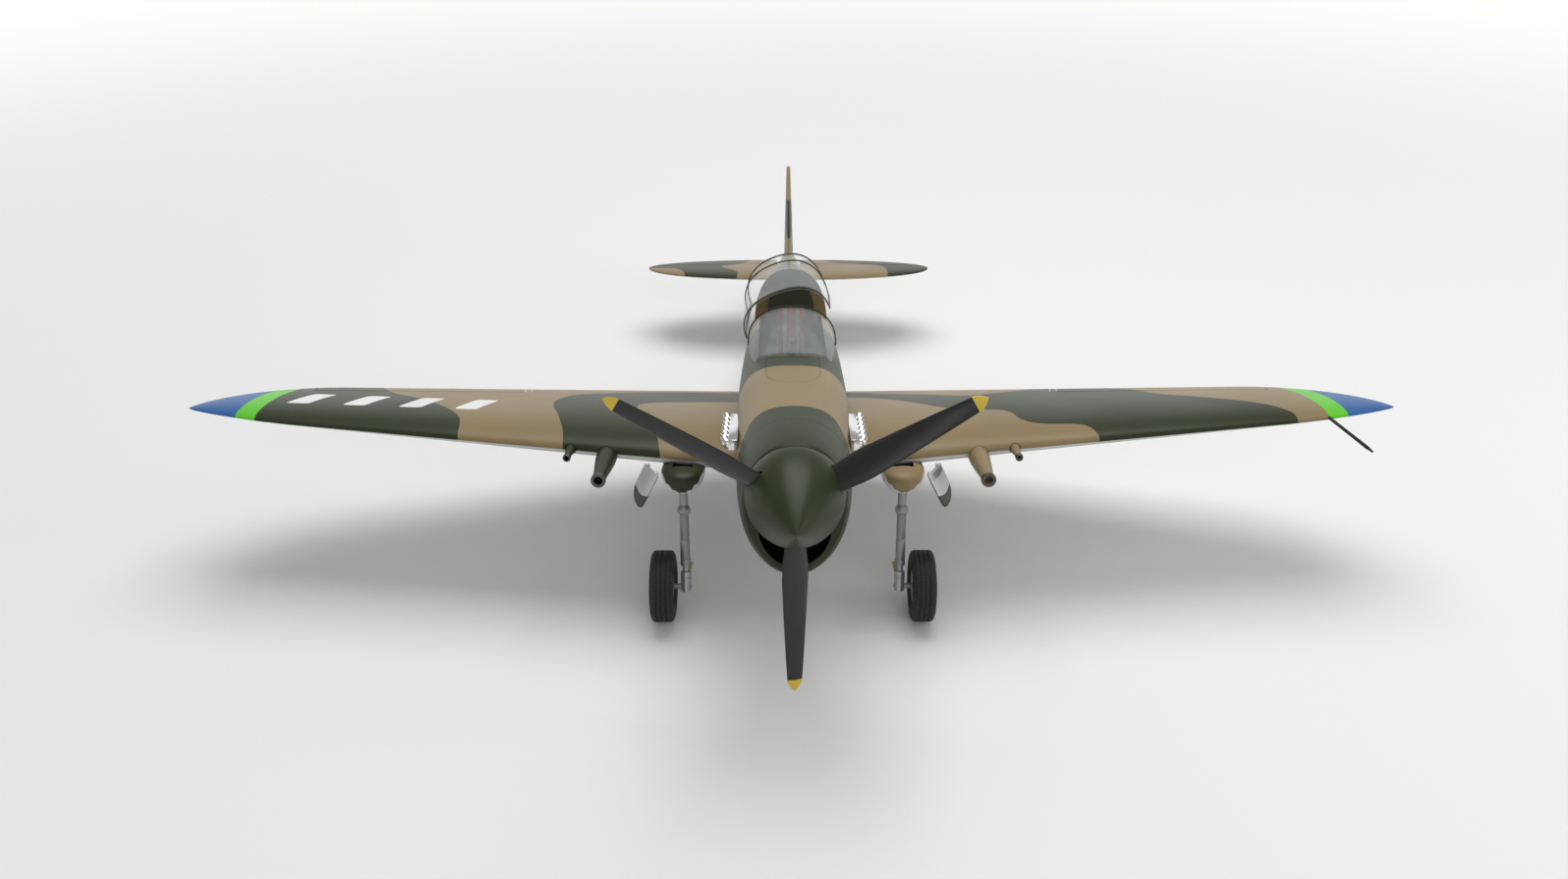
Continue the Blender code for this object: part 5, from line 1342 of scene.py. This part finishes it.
    tread = []
    for at in (-0.0055, 0.0, 0.0055):
        tread += [(at - 0.0007, R), (at - 0.0005, R - 0.0011), (at + 0.0005, R - 0.0011), (at + 0.0007, R)]
    wall = [
        (0.0090, R), (0.0105, R - 0.0006), (0.0122, R - 0.0024), (0.0134, R - 0.0056), (0.0139, R - 0.0092)
    ]
    wall += [(0.0138, 0.0292), (0.0128, 0.0264), (0.0100, 0.0243)]
    tyre = [(-out, high) for out, high in reversed(wall)] + tread + wall
    centre = PLANE @ Vector((wheel_x, LEG_Y, AXLE_Z))
    keep(
        f"rubber_tyre_{name}", turned(tyre, (wheel_x, LEG_Y, AXLE_Z), (1, 0, 0), 96),
        rubber(f"tyre_rubber_{name}", centre, 60), f"wheel_{name}", [f"tyre_{name}"],
    )

    # Retract unit: a nylon block with two cheeks, screwed into the wing; the screws are not drawn.
    unit = carved(
        round_block((leg - 0.0105, 0.2030, -0.0700), (leg + 0.0105, 0.2500, -0.0458), 0.0008, 2),
        BLACK,
        ("DIFFERENCE", block((leg - 0.0062, 0.1, -0.12), (leg + 0.0062, 0.30, -0.0515)), None),
        ("DIFFERENCE", block((leg - 0.0088, 0.2205, -0.12), (leg + 0.0088, 0.30, -0.0515)), None),
        ("DIFFERENCE", block((leg - 0.02, 0.2, -0.0720), (leg + 0.02, 0.2180, -0.0682)), None),
        ("DIFFERENCE", rod((leg - 0.03, LEG_Y, PIVOT_Z), (leg + 0.03, LEG_Y, PIVOT_Z), 0.0023, 32), None),
    )
    keep(f"retract_block_{name}", unit, BLACK, "airframe", [f"retract_unit_{name}"])

    # Gear door: a thin curved leaf, pale with an olive lower end, on two hinge lugs.
    rows = []
    for k in range(25):
        share = k / 24
        x = 0.1500 + 0.0165 * math.sin(share * math.pi / 2) ** 1.2
        rows.append((x, -0.0540 - 0.0450 * share))
    count = len(rows)

    def leaf_place(column, share):
        """Round the leaf's thin section, its lower end narrowed to a rounded tip."""
        x, z = rows[column if column < count else 2 * count - 1 - column if column < 2 * count else 0]
        low = max(0.0, (-0.0540 - z) / 0.0450 - 0.35) / 0.65
        narrow = 0.5 * (1 - math.sqrt(max(0.0, 1 - low**2.4)))
        run = between(narrow, 1 - narrow, share)
        thick = 0.0014 if count <= column < 2 * count else 0.0
        return Vector((side * (x + thick + DOOR_TOE * 0.0380 * run), 0.2060 + 0.0380 * run, z))

    leaf = skin(2 * count, 16, leaf_place)
    lugs = []
    for y in (0.2100, 0.2360):
        lug_x = side * (0.1500 + DOOR_TOE * (y - 0.2060))
        lug_low, lug_high = (lug_x - 0.0012, y, -0.0560), (lug_x + 0.0012, y + 0.003, -0.0520)
        lugs.append(round_block(lug_low, lug_high, 0.0004, 1))

    def door_fields(places):
        never = np.full(len(places), -1.0)
        line = -0.0790 - 0.004 * np.sin((places[:, 1] - 0.206) * 90)
        return {"sand": never, "belly": places[:, 2] - line, "blue": never, "green": never}

    keep(
        f"door_leaf_{name}", gathered(
            leaf, *lugs
        ), CAMOUFLAGE, f"door_{name}", [f"gear_door_{name}"],
        door_fields,
    )


# Exhausts: a plated manifold strip on each side of the nose with six swept hollow stubs.
CHROME = finish_material("chrome_plate", (0.78, 0.78, 0.80, 1), 0.13, 1.0, 50.0, 0.5, 0.06)
for name, side in SIDES:
    strip = carved(
        round_block(
            (side * 0.0630 - 0.0050, 0.112, 0.0100), (side * 0.0630 + 0.0050, 0.198, 0.0220), 0.0012, 2
        ),
        CHROME,
        ("DIFFERENCE", body_bm(COWL_BACK + 0.01, 0.26, GAP, 96, 0.01), None),
    )
    keep(f"manifold_{name}", strip, CHROME, "airframe", [f"exhaust_stack_{name}"])
    stubs = []
    for k in range(6):
        aft = 0.112 + (k + 0.3) * 0.0860 / 6
        foot = Vector((side * 0.0640, aft, 0.0160))
        bend = Vector((side * 0.0700, aft + 0.0022, 0.0168))
        tip = Vector((side * 0.0724, aft + 0.0079, 0.0198))
        stubs.append(bent_tube([foot, bend, tip], [0.0050, 0.0048, 0.0046], 28, 16, 0.0008))
    keep(f"stubs_{name}", gathered(*stubs), CHROME, "airframe", (), None, 50)


# Tail surfaces: thin foam slabs glued into the body, with the elevator and the rudder
# bevelled along their hinge lines and a wire torque rod joining the elevator's halves.
ELEVATOR_Y = 0.9660
RUDDER_Y = 1.0120
FIN_TOP = 0.1810
TAIL_DARK = (
    (
        (-0.260, 1.06), (-0.260, 0.968), (-0.190, 0.938), (-0.168, 0.905), (-0.160, 0.840), (-0.100, 0.840),
        (-0.082, 0.900), (-0.110, 0.945), (-0.080, 0.972), (-0.070, 1.060),
    ),
    (
        (0.260, 1.06), (0.260, 0.840), (0.156, 0.840), (0.160, 0.905), (0.150, 0.955), (0.110, 0.975),
        (0.070, 0.990), (0.060, 1.060),
    ),
)


def stab_fields(places):
    dark = np.max([patch(places[:, :2], corners) for corners in TAIL_DARK], axis=0)
    never = np.full(len(places), -1.0)
    return {"sand": -dark, "belly": STAB_Z - 0.0004 - places[:, 2], "blue": never, "green": never}


def fin_fields(places):
    aft, up = places[:, 1], places[:, 2]
    low_band = np.minimum(up - 0.048, 0.092 + 0.010 * np.sin((aft - 0.9) * 30) - up)
    top = up - 0.128 - 0.010 * np.sin((aft - 0.86) * 26)
    never = np.full(len(places), -1.0)
    return {"sand": np.maximum(low_band, top), "belly": -0.001 - up, "blue": never, "green": never}


FIN_BASE = 0.0300
RUDDER_BOTTOM = -0.0120


def fin_place(column, share, across=64):
    """The upright tail's section at a height: an upright grid from the rudder's foot to the tip."""
    height = between(RUDDER_BOTTOM, FIN_TOP, math.sin(share * math.pi / 2))
    up = (height - FIN_BASE) / (FIN_TOP - FIN_BASE)
    rise = min(0.9995, max(0.0, up))
    lead = between(0.8450, 1.0000, 1 - (1 - rise**1.15) ** 0.62)
    if up >= 0:
        trail = between(1.0960, 1.0040, 1 - math.sqrt(1 - rise**2.6))
    else:
        down = min(1.0, (FIN_BASE - height) / (FIN_BASE - RUDDER_BOTTOM))
        trail = between(1.0960, RUDDER_Y + 0.030, down**2)
    thick = 0.0075 * between(1.0, 0.35, rise)
    turn = 2 * math.pi * max(0, column - 1) / across
    chord = 1.0 if column == 0 else (1 + math.cos(turn)) / 2
    width = thick * (1 - (2 * chord**0.62 - 1) ** 2) + (0.0004 if chord > 1e-9 else 0.0)
    sideways = -width if column == 0 or turn > math.pi else width
    return Vector((sideways, between(lead, trail, chord), height))


def fin_bm():
    return skin(65, 72, fin_place)


hinge_x = STAB_SPAN + 0.02
bay = [Vector((-hinge_x, ELEVATOR_Y + a, STAB_Z + u)) for a, u in BAY]
leaf = [Vector((-hinge_x, ELEVATOR_Y + a, STAB_Z + u)) for a, u in LEAF]
tailplane = carved(
    stab_bm(),
    CAMOUFLAGE,
    ("DIFFERENCE", drawn(bay, (2 * hinge_x, 0, 0)), None),
    ("DIFFERENCE", rod((-0.045, ELEVATOR_Y, STAB_Z), (0.045, ELEVATOR_Y, STAB_Z), 0.0026, 24), None),
)
keep("tailplane", tailplane, CAMOUFLAGE, "airframe", ["stabilizer"], stab_fields, 30)
horns = [
    (
        "UNION",
        block((x - 0.004, ELEVATOR_Y - 0.001, STAB_Z - 0.0016), (x + 0.004, 0.980, STAB_Z + 0.0016)), STEEL
    )
    for x in (-0.025, 0.025)
]
elevator = carved(
    stab_bm(),
    CAMOUFLAGE,
    ("INTERSECT", drawn(leaf, (2 * hinge_x, 0, 0)), None),
    ("DIFFERENCE", block((-0.019, 0.9, -0.02), (0.019, 1.2, 0.06)), None),
    *horns,
    ("UNION", rod((-0.030, ELEVATOR_Y, STAB_Z), (0.030, ELEVATOR_Y, STAB_Z), 0.0020, 24), STEEL),
)
keep(
    "elevator_leaf", elevator, CAMOUFLAGE, "elevator_surface", ["elevator"],
    stab_fields, 30
)
fin = carved(
    fin_bm(),
    CAMOUFLAGE,
    ("DIFFERENCE", block((-0.05, RUDDER_Y - 0.0003, -0.1), (0.05, 1.3, 0.3)), None),
    ("DIFFERENCE", body_bm(0.80, BODY_BACK + 0.0006, GAP, 96, 0.01), None),
    ("DIFFERENCE", block((-0.05, 0.8, -0.1), (0.05, 1.3, 0.040)), None),
)
keep("fin_skin", fin, CAMOUFLAGE, "airframe", ["fin"], fin_fields, 30)
nose = RUDDER_Y + 0.0003
back = 0.05 * math.tan(math.radians(32))
wedge = [(0, nose), (0.05, nose + back), (0.05, 1.2), (-0.05, 1.2), (-0.05, nose + back)]
rudder = carved(
    fin_bm(), CAMOUFLAGE, ("INTERSECT", drawn([Vector((x, y, -0.1)) for x, y in wedge], (0, 0, 0.4)), None)
)
keep("rudder_leaf", rudder, CAMOUFLAGE, "rudder_surface", ["rudder"], fin_fields, 30)

# Tail wheel: a steel leg and fork turned by the rudder, and a small rubber wheel on an
# alloy core.
tail_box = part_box("tail_wheel")
tail_centre = PLANE.inverted() @ ((tail_box[0] + tail_box[1]) / 2)
tail_y, tail_z = tail_centre.y, tail_centre.z
fork = [
    ("UNION", round_block((-0.0090, 0.9010, -0.0680), (0.0090, 0.9130, -0.0630), 0.0008, 2), None),
    ("UNION", rod((-0.0078, tail_y, tail_z), (0.0078, tail_y, tail_z), 0.0020, 24), None),
]
for side in (-1, 1):
    cheek = [(0.9010, -0.0640), (0.9130, -0.0640), (tail_y + 0.005, tail_z - 0.001)]
    for k in range(1, 8):
        angle = math.pi * k / 8
        cheek.append((tail_y + 0.005 * math.cos(angle), tail_z - 0.001 - 0.004 * math.sin(angle)))
    cheek.append((tail_y - 0.0055, tail_z - 0.001))
    plate = drawn([Vector((side * 0.0068, y, z)) for y, z in cheek], (side * 0.0022, 0, 0))
    fork.append(("UNION", plate, None))
leg_shape = carved(rod((0, 0.905, -0.0640), (0, 0.905, 0.0120), 0.0030, 40), ALLOY, *fork)
keep("tail_fork", leg_shape, ALLOY, "tail_strut", ["tail_leg"])
stand = 0.0175 * math.cos(math.pi / 20)
tail_tyre = (
    (-0.0060, 0.0092), (-0.0060, stand - 0.0036), (-0.0054, stand - 0.0014), (-0.0040, stand - 0.0002),
    (-0.0012, stand), (0.0012, stand), (0.0040, stand - 0.0002), (0.0054, stand - 0.0014),
    (0.0060, stand - 0.0036), (0.0060, 0.0092),
)
keep(
    "tail_tyre", turned(tail_tyre, (0, tail_y, tail_z), (1, 0, 0), 72),
    rubber(
        "tail_tyre_rubber", (tail_box[0] + tail_box[1]) / 2, 36
    ), "tail_roller", ["tail_wheel"],
)
tail_core = (
    (-0.0060, 0.0023), (-0.0060, 0.0040), (-0.0044, 0.0050), (-0.0044, 0.0080), (-0.0058, 0.0092),
    (0.0058, 0.0092), (0.0044, 0.0080), (0.0044, 0.0050), (0.0060, 0.0040), (0.0060, 0.0023),
)
keep(
    "tail_core", turned(tail_core, (0, tail_y, tail_z), (1, 0, 0), 56), RIM, "tail_roller", ()
)


# Glazing: vacuum-formed clear plastic, a fixed windscreen with a painted bow at its back,
# a side-hinged hood standing open in a painted frame, and two panes beside the spine, drawn without frames.
def clear_plastic(name, tint, haze):
    """Clear sheet: see-through, glossy, with faint dust and forming ripples."""
    made = bpy.data.materials.new(name)
    made.use_nodes = True
    tree = made.node_tree
    shader = tree.nodes["Principled BSDF"]
    shader.inputs["Base Color"].default_value = (*tint, 1)
    shader.inputs["IOR"].default_value = 1.35
    place = shader_node(tree, "ShaderNodeTexCoord").outputs["Object"]
    ripple = shader_node(tree, "ShaderNodeTexNoise")
    ripple.inputs["Scale"].default_value = 22
    wire(tree, place, ripple.inputs["Vector"])
    bump = shader_node(tree, "ShaderNodeBump")
    bump.inputs["Strength"].default_value = 0.04
    bump.inputs["Distance"].default_value = 0.0006
    wire(tree, ripple.outputs["Fac"], bump.inputs["Height"])
    wire(tree, bump.outputs["Normal"], shader.inputs["Normal"])
    dust = shader_node(tree, "ShaderNodeTexNoise")
    dust.inputs["Scale"].default_value = 130
    dust.inputs["Detail"].default_value = 6
    wire(tree, place, dust.inputs["Vector"])
    sheer = shader_node(tree, "ShaderNodeMapRange")
    sheer.inputs["To Min"].default_value = haze
    sheer.inputs["To Max"].default_value = haze + 0.10
    wire(tree, dust.outputs["Fac"], sheer.inputs["Value"])
    wire(tree, sheer.outputs["Result"], shader.inputs["Alpha"])
    rough = shader_node(tree, "ShaderNodeMapRange")
    rough.inputs["To Min"].default_value = 0.03
    rough.inputs["To Max"].default_value = 0.14
    wire(tree, dust.outputs["Fac"], rough.inputs["Value"])
    wire(tree, rough.outputs["Result"], shader.inputs["Roughness"])
    return made


CLEAR = clear_plastic("clear_canopy_plastic", (0.62, 0.66, 0.66), 0.12)
SCREEN = (
    (SCREEN_FRONT, 0.0440, 0.0640),
    (0.3250, 0.0490, 0.0860),
    (SCREEN_BACK, 0.0520, 0.1010),
)
SCREEN_INSIDE = (
    (SCREEN_FRONT + 0.002, 0.0425, 0.0625),
    (0.3250, 0.0480, 0.0850),
    (SCREEN_BACK + 0.01, 0.0510, 0.1010),
)
screen = carved(
    arch_bm(SCREEN, SILL_Z, 0, 0, 64, 0.004),
    CLEAR,
    ("DIFFERENCE", arch_bm(SCREEN_INSIDE, SILL_Z, 0, 0.02, 64, 0.004), None),
    ("DIFFERENCE", body_bm(0.24, 0.64, GAP, 96, 0.012), None),
)
keep("windscreen_glass", screen, CLEAR, "airframe", ["windscreen"], None, 40)
SASH = finish_material("canopy_frame_paint", (0.022, 0.026, 0.016, 1), 0.30)


def bow_bm(half, top, aft, wide, foot, thick=0.0016, along=64):
    """One thin round-edged bow over the arch at a station."""

    def place(column, share):
        angle = math.pi * share
        c, s = math.cos(angle), max(0.0, math.sin(angle))
        section = 2 * math.pi * column / 12
        out = thick * 0.5 * math.cos(section)
        x = math.copysign(abs(c) ** 0.86, c) * (half + 0.0006 + out)
        z = foot + s**0.80 * (top - foot + 0.0006 + out)
        return Vector((x, aft + wide / 2 * math.sin(section), z))

    return skin(12, along, place)


screen_bow = bow_bm(0.0520, 0.1010, SCREEN_BACK - 0.0016, 0.0030, SILL_Z + 0.002)
keep("windscreen_bow", screen_bow, SASH, "airframe", ())
HOOD_FRONT = SCREEN_BACK + 0.0010
HOOD_FOOT = SILL_Z + 0.0090
HOOD = (
    (HOOD_FRONT, 0.0520, 0.1010),
    (between(HOOD_FRONT, CANOPY_BACK, 0.33), 0.0535, 0.1085),
    (between(HOOD_FRONT, CANOPY_BACK, 0.67), 0.0520, 0.1115),
    (CANOPY_BACK, 0.0490, 0.1110),
)
HINGE = Vector((-0.0540, SCREEN_BACK, SILL_Z + 0.0060))
OPEN = Matrix.Translation(HINGE) @ Matrix.Rotation(-math.radians(20), 4, "Y") @ Matrix.Translation(-HINGE)
hood = carved(
    arch_bm(HOOD, HOOD_FOOT, 0, 0, 64, 0.005),
    CLEAR,
    ("DIFFERENCE", arch_bm(HOOD, HOOD_FOOT, -0.0010, 0.02, 64, 0.005, 0.01), None),
)
hood.transform(OPEN)
keep("hood_glass", hood, CLEAR, "canopy", ["canopy_glass"], None, 40)
middle = (HOOD_FRONT + CANOPY_BACK) / 2
panes = (
    (HOOD_FRONT + 0.0042, middle + 0.0330, 0.0035),
    (middle + 0.0365, CANOPY_BACK - 0.0042, 0.0035),
)
hood_frame = carved(
    arch_bm(HOOD, HOOD_FOOT, GAP + 0.0013, 0, 64, 0.005),
    SASH,
    ("DIFFERENCE", arch_bm(HOOD, HOOD_FOOT, GAP, 0.02, 64, 0.005, 0.01), None),
    *[
        ("DIFFERENCE", block((-0.2, low, HOOD_FOOT + rail), (0.2, high, 0.3)), None) for low, high,
        rail in panes
    ],
)
hood_frame.transform(OPEN)
keep("hood_frame", hood_frame, SASH, "canopy", ["canopy_frame"])
for name, side in SIDES:
    keep_low = (min(side * (SPINE_HALF + GAP), side * HIGH), CANOPY_BACK + 0.0063, SILL_Z + 0.0083)
    keep_high = (max(side * (SPINE_HALF + GAP), side * HIGH), WINDOW_BACK - GAP, HIGH)
    pane = carved(
        arch_bm(DECK, 0.0300),
        CLEAR,
        ("INTERSECT", block(keep_low, keep_high), None),
        ("DIFFERENCE", arch_bm(DECK, 0.0300, -0.0012, 0.02), None),
    )
    keep(
        f"quarter_pane_{name}", pane, CLEAR, "airframe", [f"rear_window_{name}"], None, 40
    )


# Battery hatch: the lift-off top of the nose, the same foam shell as the body around it.
lid = carved(
    body_bm(0.12, 0.36),
    CAMOUFLAGE,
    ("INTERSECT", drawn(hatch_outline(0, 0.04), (0, 0, HIGH)), None),
    ("DIFFERENCE", body_bm(0.11, 0.37, -0.006), FOAM_INSIDE),
)
keep("hatch_lid", lid, CAMOUFLAGE, "hatch", ["battery_hatch"], body_fields, 34)

# Cockpit: a moulded tub with an instrument panel, stick, gunsight and a red padded seat
# with harness straps.
INTERIOR = finish_material("cockpit_paint", (0.055, 0.060, 0.038, 1), 0.55)
DARK_PANEL = finish_material("panel_black", (0.016, 0.016, 0.017, 1), 0.45)
RED_PAD = finish_material("seat_cloth", (0.160, 0.012, 0.010, 1), 0.80, 0, 60, 0.6, 0.6)
STRAP = finish_material("harness_webbing", (0.240, 0.200, 0.120, 1), 0.85, 0, 90, 0.4, 0.6)
DIAL = finish_material("dial_face", (0.420, 0.420, 0.390, 1), 0.30)
TUB_HALF = 0.0394
TUB_WALL = 0.0015
TUB_LOW, TUB_HIGH = 0.0050, 0.0500
TUB_FRONT, TUB_BACK = 0.3000, 0.5210
room_low = (-TUB_HALF + TUB_WALL, TUB_FRONT + TUB_WALL, TUB_LOW + TUB_WALL)
room_high = (TUB_HALF - TUB_WALL, TUB_BACK - TUB_WALL, 0.0800)
tub = carved(
    round_block((-TUB_HALF, TUB_FRONT, TUB_LOW), (TUB_HALF, TUB_BACK, TUB_HIGH), 0.003, 3),
    INTERIOR,
    ("DIFFERENCE", round_block(room_low, room_high, 0.002, 2), None),
)
keep("tub_shell", tub, INTERIOR, "airframe", ["cockpit_tub"])
PANEL_Y = 0.3018
PANEL_HALF = 0.0330
PANEL_THICK = 0.0030


def crowned(half, y, foot, shoulder, crown):
    """An upright outline with square feet and a half-elliptical top."""
    corners = [Vector((-half, y, foot)), Vector((half, y, foot))]
    for k in range(33):
        angle = math.pi * k / 32
        corners.append(Vector((half * math.cos(angle), y, shoulder + crown * math.sin(angle))))
    return corners


panel_face = crowned(PANEL_HALF, PANEL_Y, 0.0120, 0.0450, 0.0110)
panel = carved(drawn(panel_face, (0, PANEL_THICK, 0)), DARK_PANEL)
keep("panel_board", panel, DARK_PANEL, "airframe", ["instrument_panel"], None, 30)
RIM_WIDTH = 0.0010
DIALS = (
    (-0.0190, 0.0400, 0.0052),
    (-0.0060, 0.0440, 0.0052),
    (0.0070, 0.0440, 0.0052),
    (0.0195, 0.0400, 0.0052),
    (-0.0190, 0.0260, 0.0046),
    (-0.0070, 0.0290, 0.0046),
    (0.0060, 0.0290, 0.0046),
    (0.0190, 0.0260, 0.0046),
)
rims, glasses = [], []
for x, z, radius in DIALS:
    inside = radius - RIM_WIDTH
    ring = (
        (PANEL_THICK, radius),
        (0.0040, radius),
        (0.0042, radius - 0.0006),
        (0.0036, inside),
        (PANEL_THICK, inside),
    )
    rims.append(turned(ring, (x, PANEL_Y, z), (0, 1, 0), 32))
    disc = ((PANEL_THICK, 0.0), (PANEL_THICK, inside), (0.0033, inside), (0.0033, 0.0))
    glasses.append(turned(disc, (x, PANEL_Y, z), (0, 1, 0), 32))
keep("dial_rims", carved(gathered(*rims), ALLOY), ALLOY, "airframe", ())
keep("dial_faces", carved(gathered(*glasses), DIAL), DIAL, "airframe", ())
cushion = gathered(
    round_block((-0.0170, 0.4300, 0.0068), (0.0170, 0.4640, 0.0160), 0.0030, 3),
    round_block((-0.0170, 0.4600, 0.0068), (0.0170, 0.4680, 0.0740), 0.0030, 3),
)
headrest_shape = carved(
    drawn(crowned(0.0300, TUB_BACK, TUB_HIGH, 0.0620, 0.0330), (0, 0.0050, 0)), INTERIOR
)
keep("headrest", headrest_shape, INTERIOR, "airframe", (), None, 30)
keep("seat_pad", carved(cushion, RED_PAD), RED_PAD, "airframe", ["seat"])
STRAP_HALF = 0.0022
webs = []
for x in (-0.008, 0.008):
    low, high = x - STRAP_HALF, x + STRAP_HALF
    webs.append(round_block((low, 0.4590, 0.0160), (high, 0.4602, 0.0745), 0.0004, 1))
    webs.append(round_block((low, 0.4330, 0.0158), (high, 0.4590, 0.0168), 0.0004, 1))
straps = gathered(
    *webs,
    round_block((-0.0045, 0.4570, 0.0290), (0.0045, 0.4592, 0.0360), 0.0006, 2),
)
keep("seat_straps", carved(straps, STRAP), STRAP, "airframe", ())
GRIP = ((0, 0), (0, 0.0024), (0.006, 0.0030), (0.012, 0.0026), (0.013, 0))
GAITER = ((0, 0), (0, 0.0052), (0.003, 0.0044), (0.007, 0.0020), (0.008, 0))
stick = gathered(
    rod((0, 0.3900, 0.0060), (0, 0.3960, 0.0360), 0.0014, 20),
    turned(GRIP, (0, 0.3960, 0.0350), (0, 0.15, 1), 24),
    turned(GAITER, (0, 0.3898, 0.0062), (0, 0, 1), 24),
)
keep("stick", carved(stick, DARK_PANEL), DARK_PANEL, "airframe", ())
sight = gathered(
    round_block((-0.0060, 0.3060, 0.0500), (0.0060, 0.3140, 0.0590), 0.0012, 2),
    round_block((-0.0040, 0.3090, 0.0588), (0.0040, 0.3100, 0.0680), 0.0003, 1),
)
keep("gunsight", carved(sight, DARK_PANEL), DARK_PANEL, "airframe", ())

# Inside gear: battery, speed controller, receiver, servos and the wing's spar tube, each
# strapped, glued or plugged into its bay.
SHRINK = finish_material("heat_shrink", (0.020, 0.060, 0.180, 1), 0.30)
CASE = finish_material("servo_case", (0.018, 0.018, 0.020, 1), 0.38)
FIN_METAL = finish_material("heat_sink", (0.240, 0.245, 0.255, 1), 0.40, 0.80)
CARBON = finish_material("spar_tube", (0.022, 0.022, 0.024, 1), 0.35, 0, 60, 0.4, 0.4)


def boxed(name, low, high, material, cad, radius=0.0012, extra=()):
    """A small case with softened edges, its details joined on, in place of its CAD piece."""
    made = carved(gathered(round_block(low, high, radius, 3), *extra), material)
    keep(name, made, material, "airframe", [cad])


BATTERY_HALF = 0.0215
BATTERY_FRONT, BATTERY_BACK = 0.1400, 0.2650
BATTERY_LOW, BATTERY_HIGH = -0.0250, 0.0050
WRAP = 0.0005
bands = []
for y in (0.170, 0.225):
    band_low, band_high = (-BATTERY_HALF, y, BATTERY_LOW), (BATTERY_HALF, y + 0.012, BATTERY_HIGH)
    bands.append(round_block(band_low, band_high, 0.0016, 2))
boxed(
    "battery_pack",
    (-BATTERY_HALF + WRAP, BATTERY_FRONT, BATTERY_LOW + WRAP),
    (BATTERY_HALF - WRAP, BATTERY_BACK, BATTERY_HIGH - WRAP),
    SHRINK,
    "battery",
    0.003,
    bands,
)
heat_fins = []
for x in np.arange(-0.0120, 0.0121, 0.003):
    heat_fins.append(round_block((x, 0.1140, -0.0500), (x + 0.0012, 0.1700, -0.0480), 0.0003, 1))
boxed(
    "controller_case",
    (-0.0150, 0.1100, -0.0620),
    (0.0150, 0.1750, -0.0490),
    FIN_METAL,
    "speed_controller",
    0.0015,
    heat_fins,
)
boxed("receiver_case", (-0.0120, 0.3000, -0.0450), (0.0120, 0.3450, -0.0320), CASE, "receiver")
SERVO_HALF = 0.0110
SERVO_Y = 0.5600
for name, x in (("elevator", 0.0160), ("rudder", -0.0160)):
    low, high = x - SERVO_HALF, x + SERVO_HALF
    ear = round_block((low, SERVO_Y, -0.0225), (high, SERVO_Y + 0.0230, -0.0210), 0.0004, 1)
    case_low, case_high = (low, SERVO_Y + 0.0010, -0.0300), (high, SERVO_Y + 0.0220, -0.0190)
    boxed(f"{name}_servo_case", case_low, case_high, CASE, f"{name}_servo", 0.0010, [ear])
SPAR_HALF, SPAR_Y, SPAR_Z = 0.105, 0.262, -0.037
bore = rod((-0.12, SPAR_Y, SPAR_Z), (0.12, SPAR_Y, SPAR_Z), 0.0050, 40)
spar = carved(
    rod((-SPAR_HALF, SPAR_Y, SPAR_Z), (SPAR_HALF, SPAR_Y, SPAR_Z), 0.0060, 48),
    CARBON,
    ("DIFFERENCE", bore, None),
)
keep("spar", spar, CARBON, "airframe", ["wing_spar_tube"])
for name, _ in SIDES:
    low_box, high_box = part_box(f"aileron_servo_{name}")
    middle_point = PLANE.inverted() @ ((low_box + high_box) / 2)
    half = Vector(((high_box.x - low_box.x) / 2 - 0.0001, 0.0108, 0.0054))
    small = carved(round_block(middle_point - half, middle_point + half, 0.0010, 3), CASE)
    keep(
        f"aileron_servo_case_{name}", small, CASE, "airframe", [f"aileron_servo_{name}"],
    )
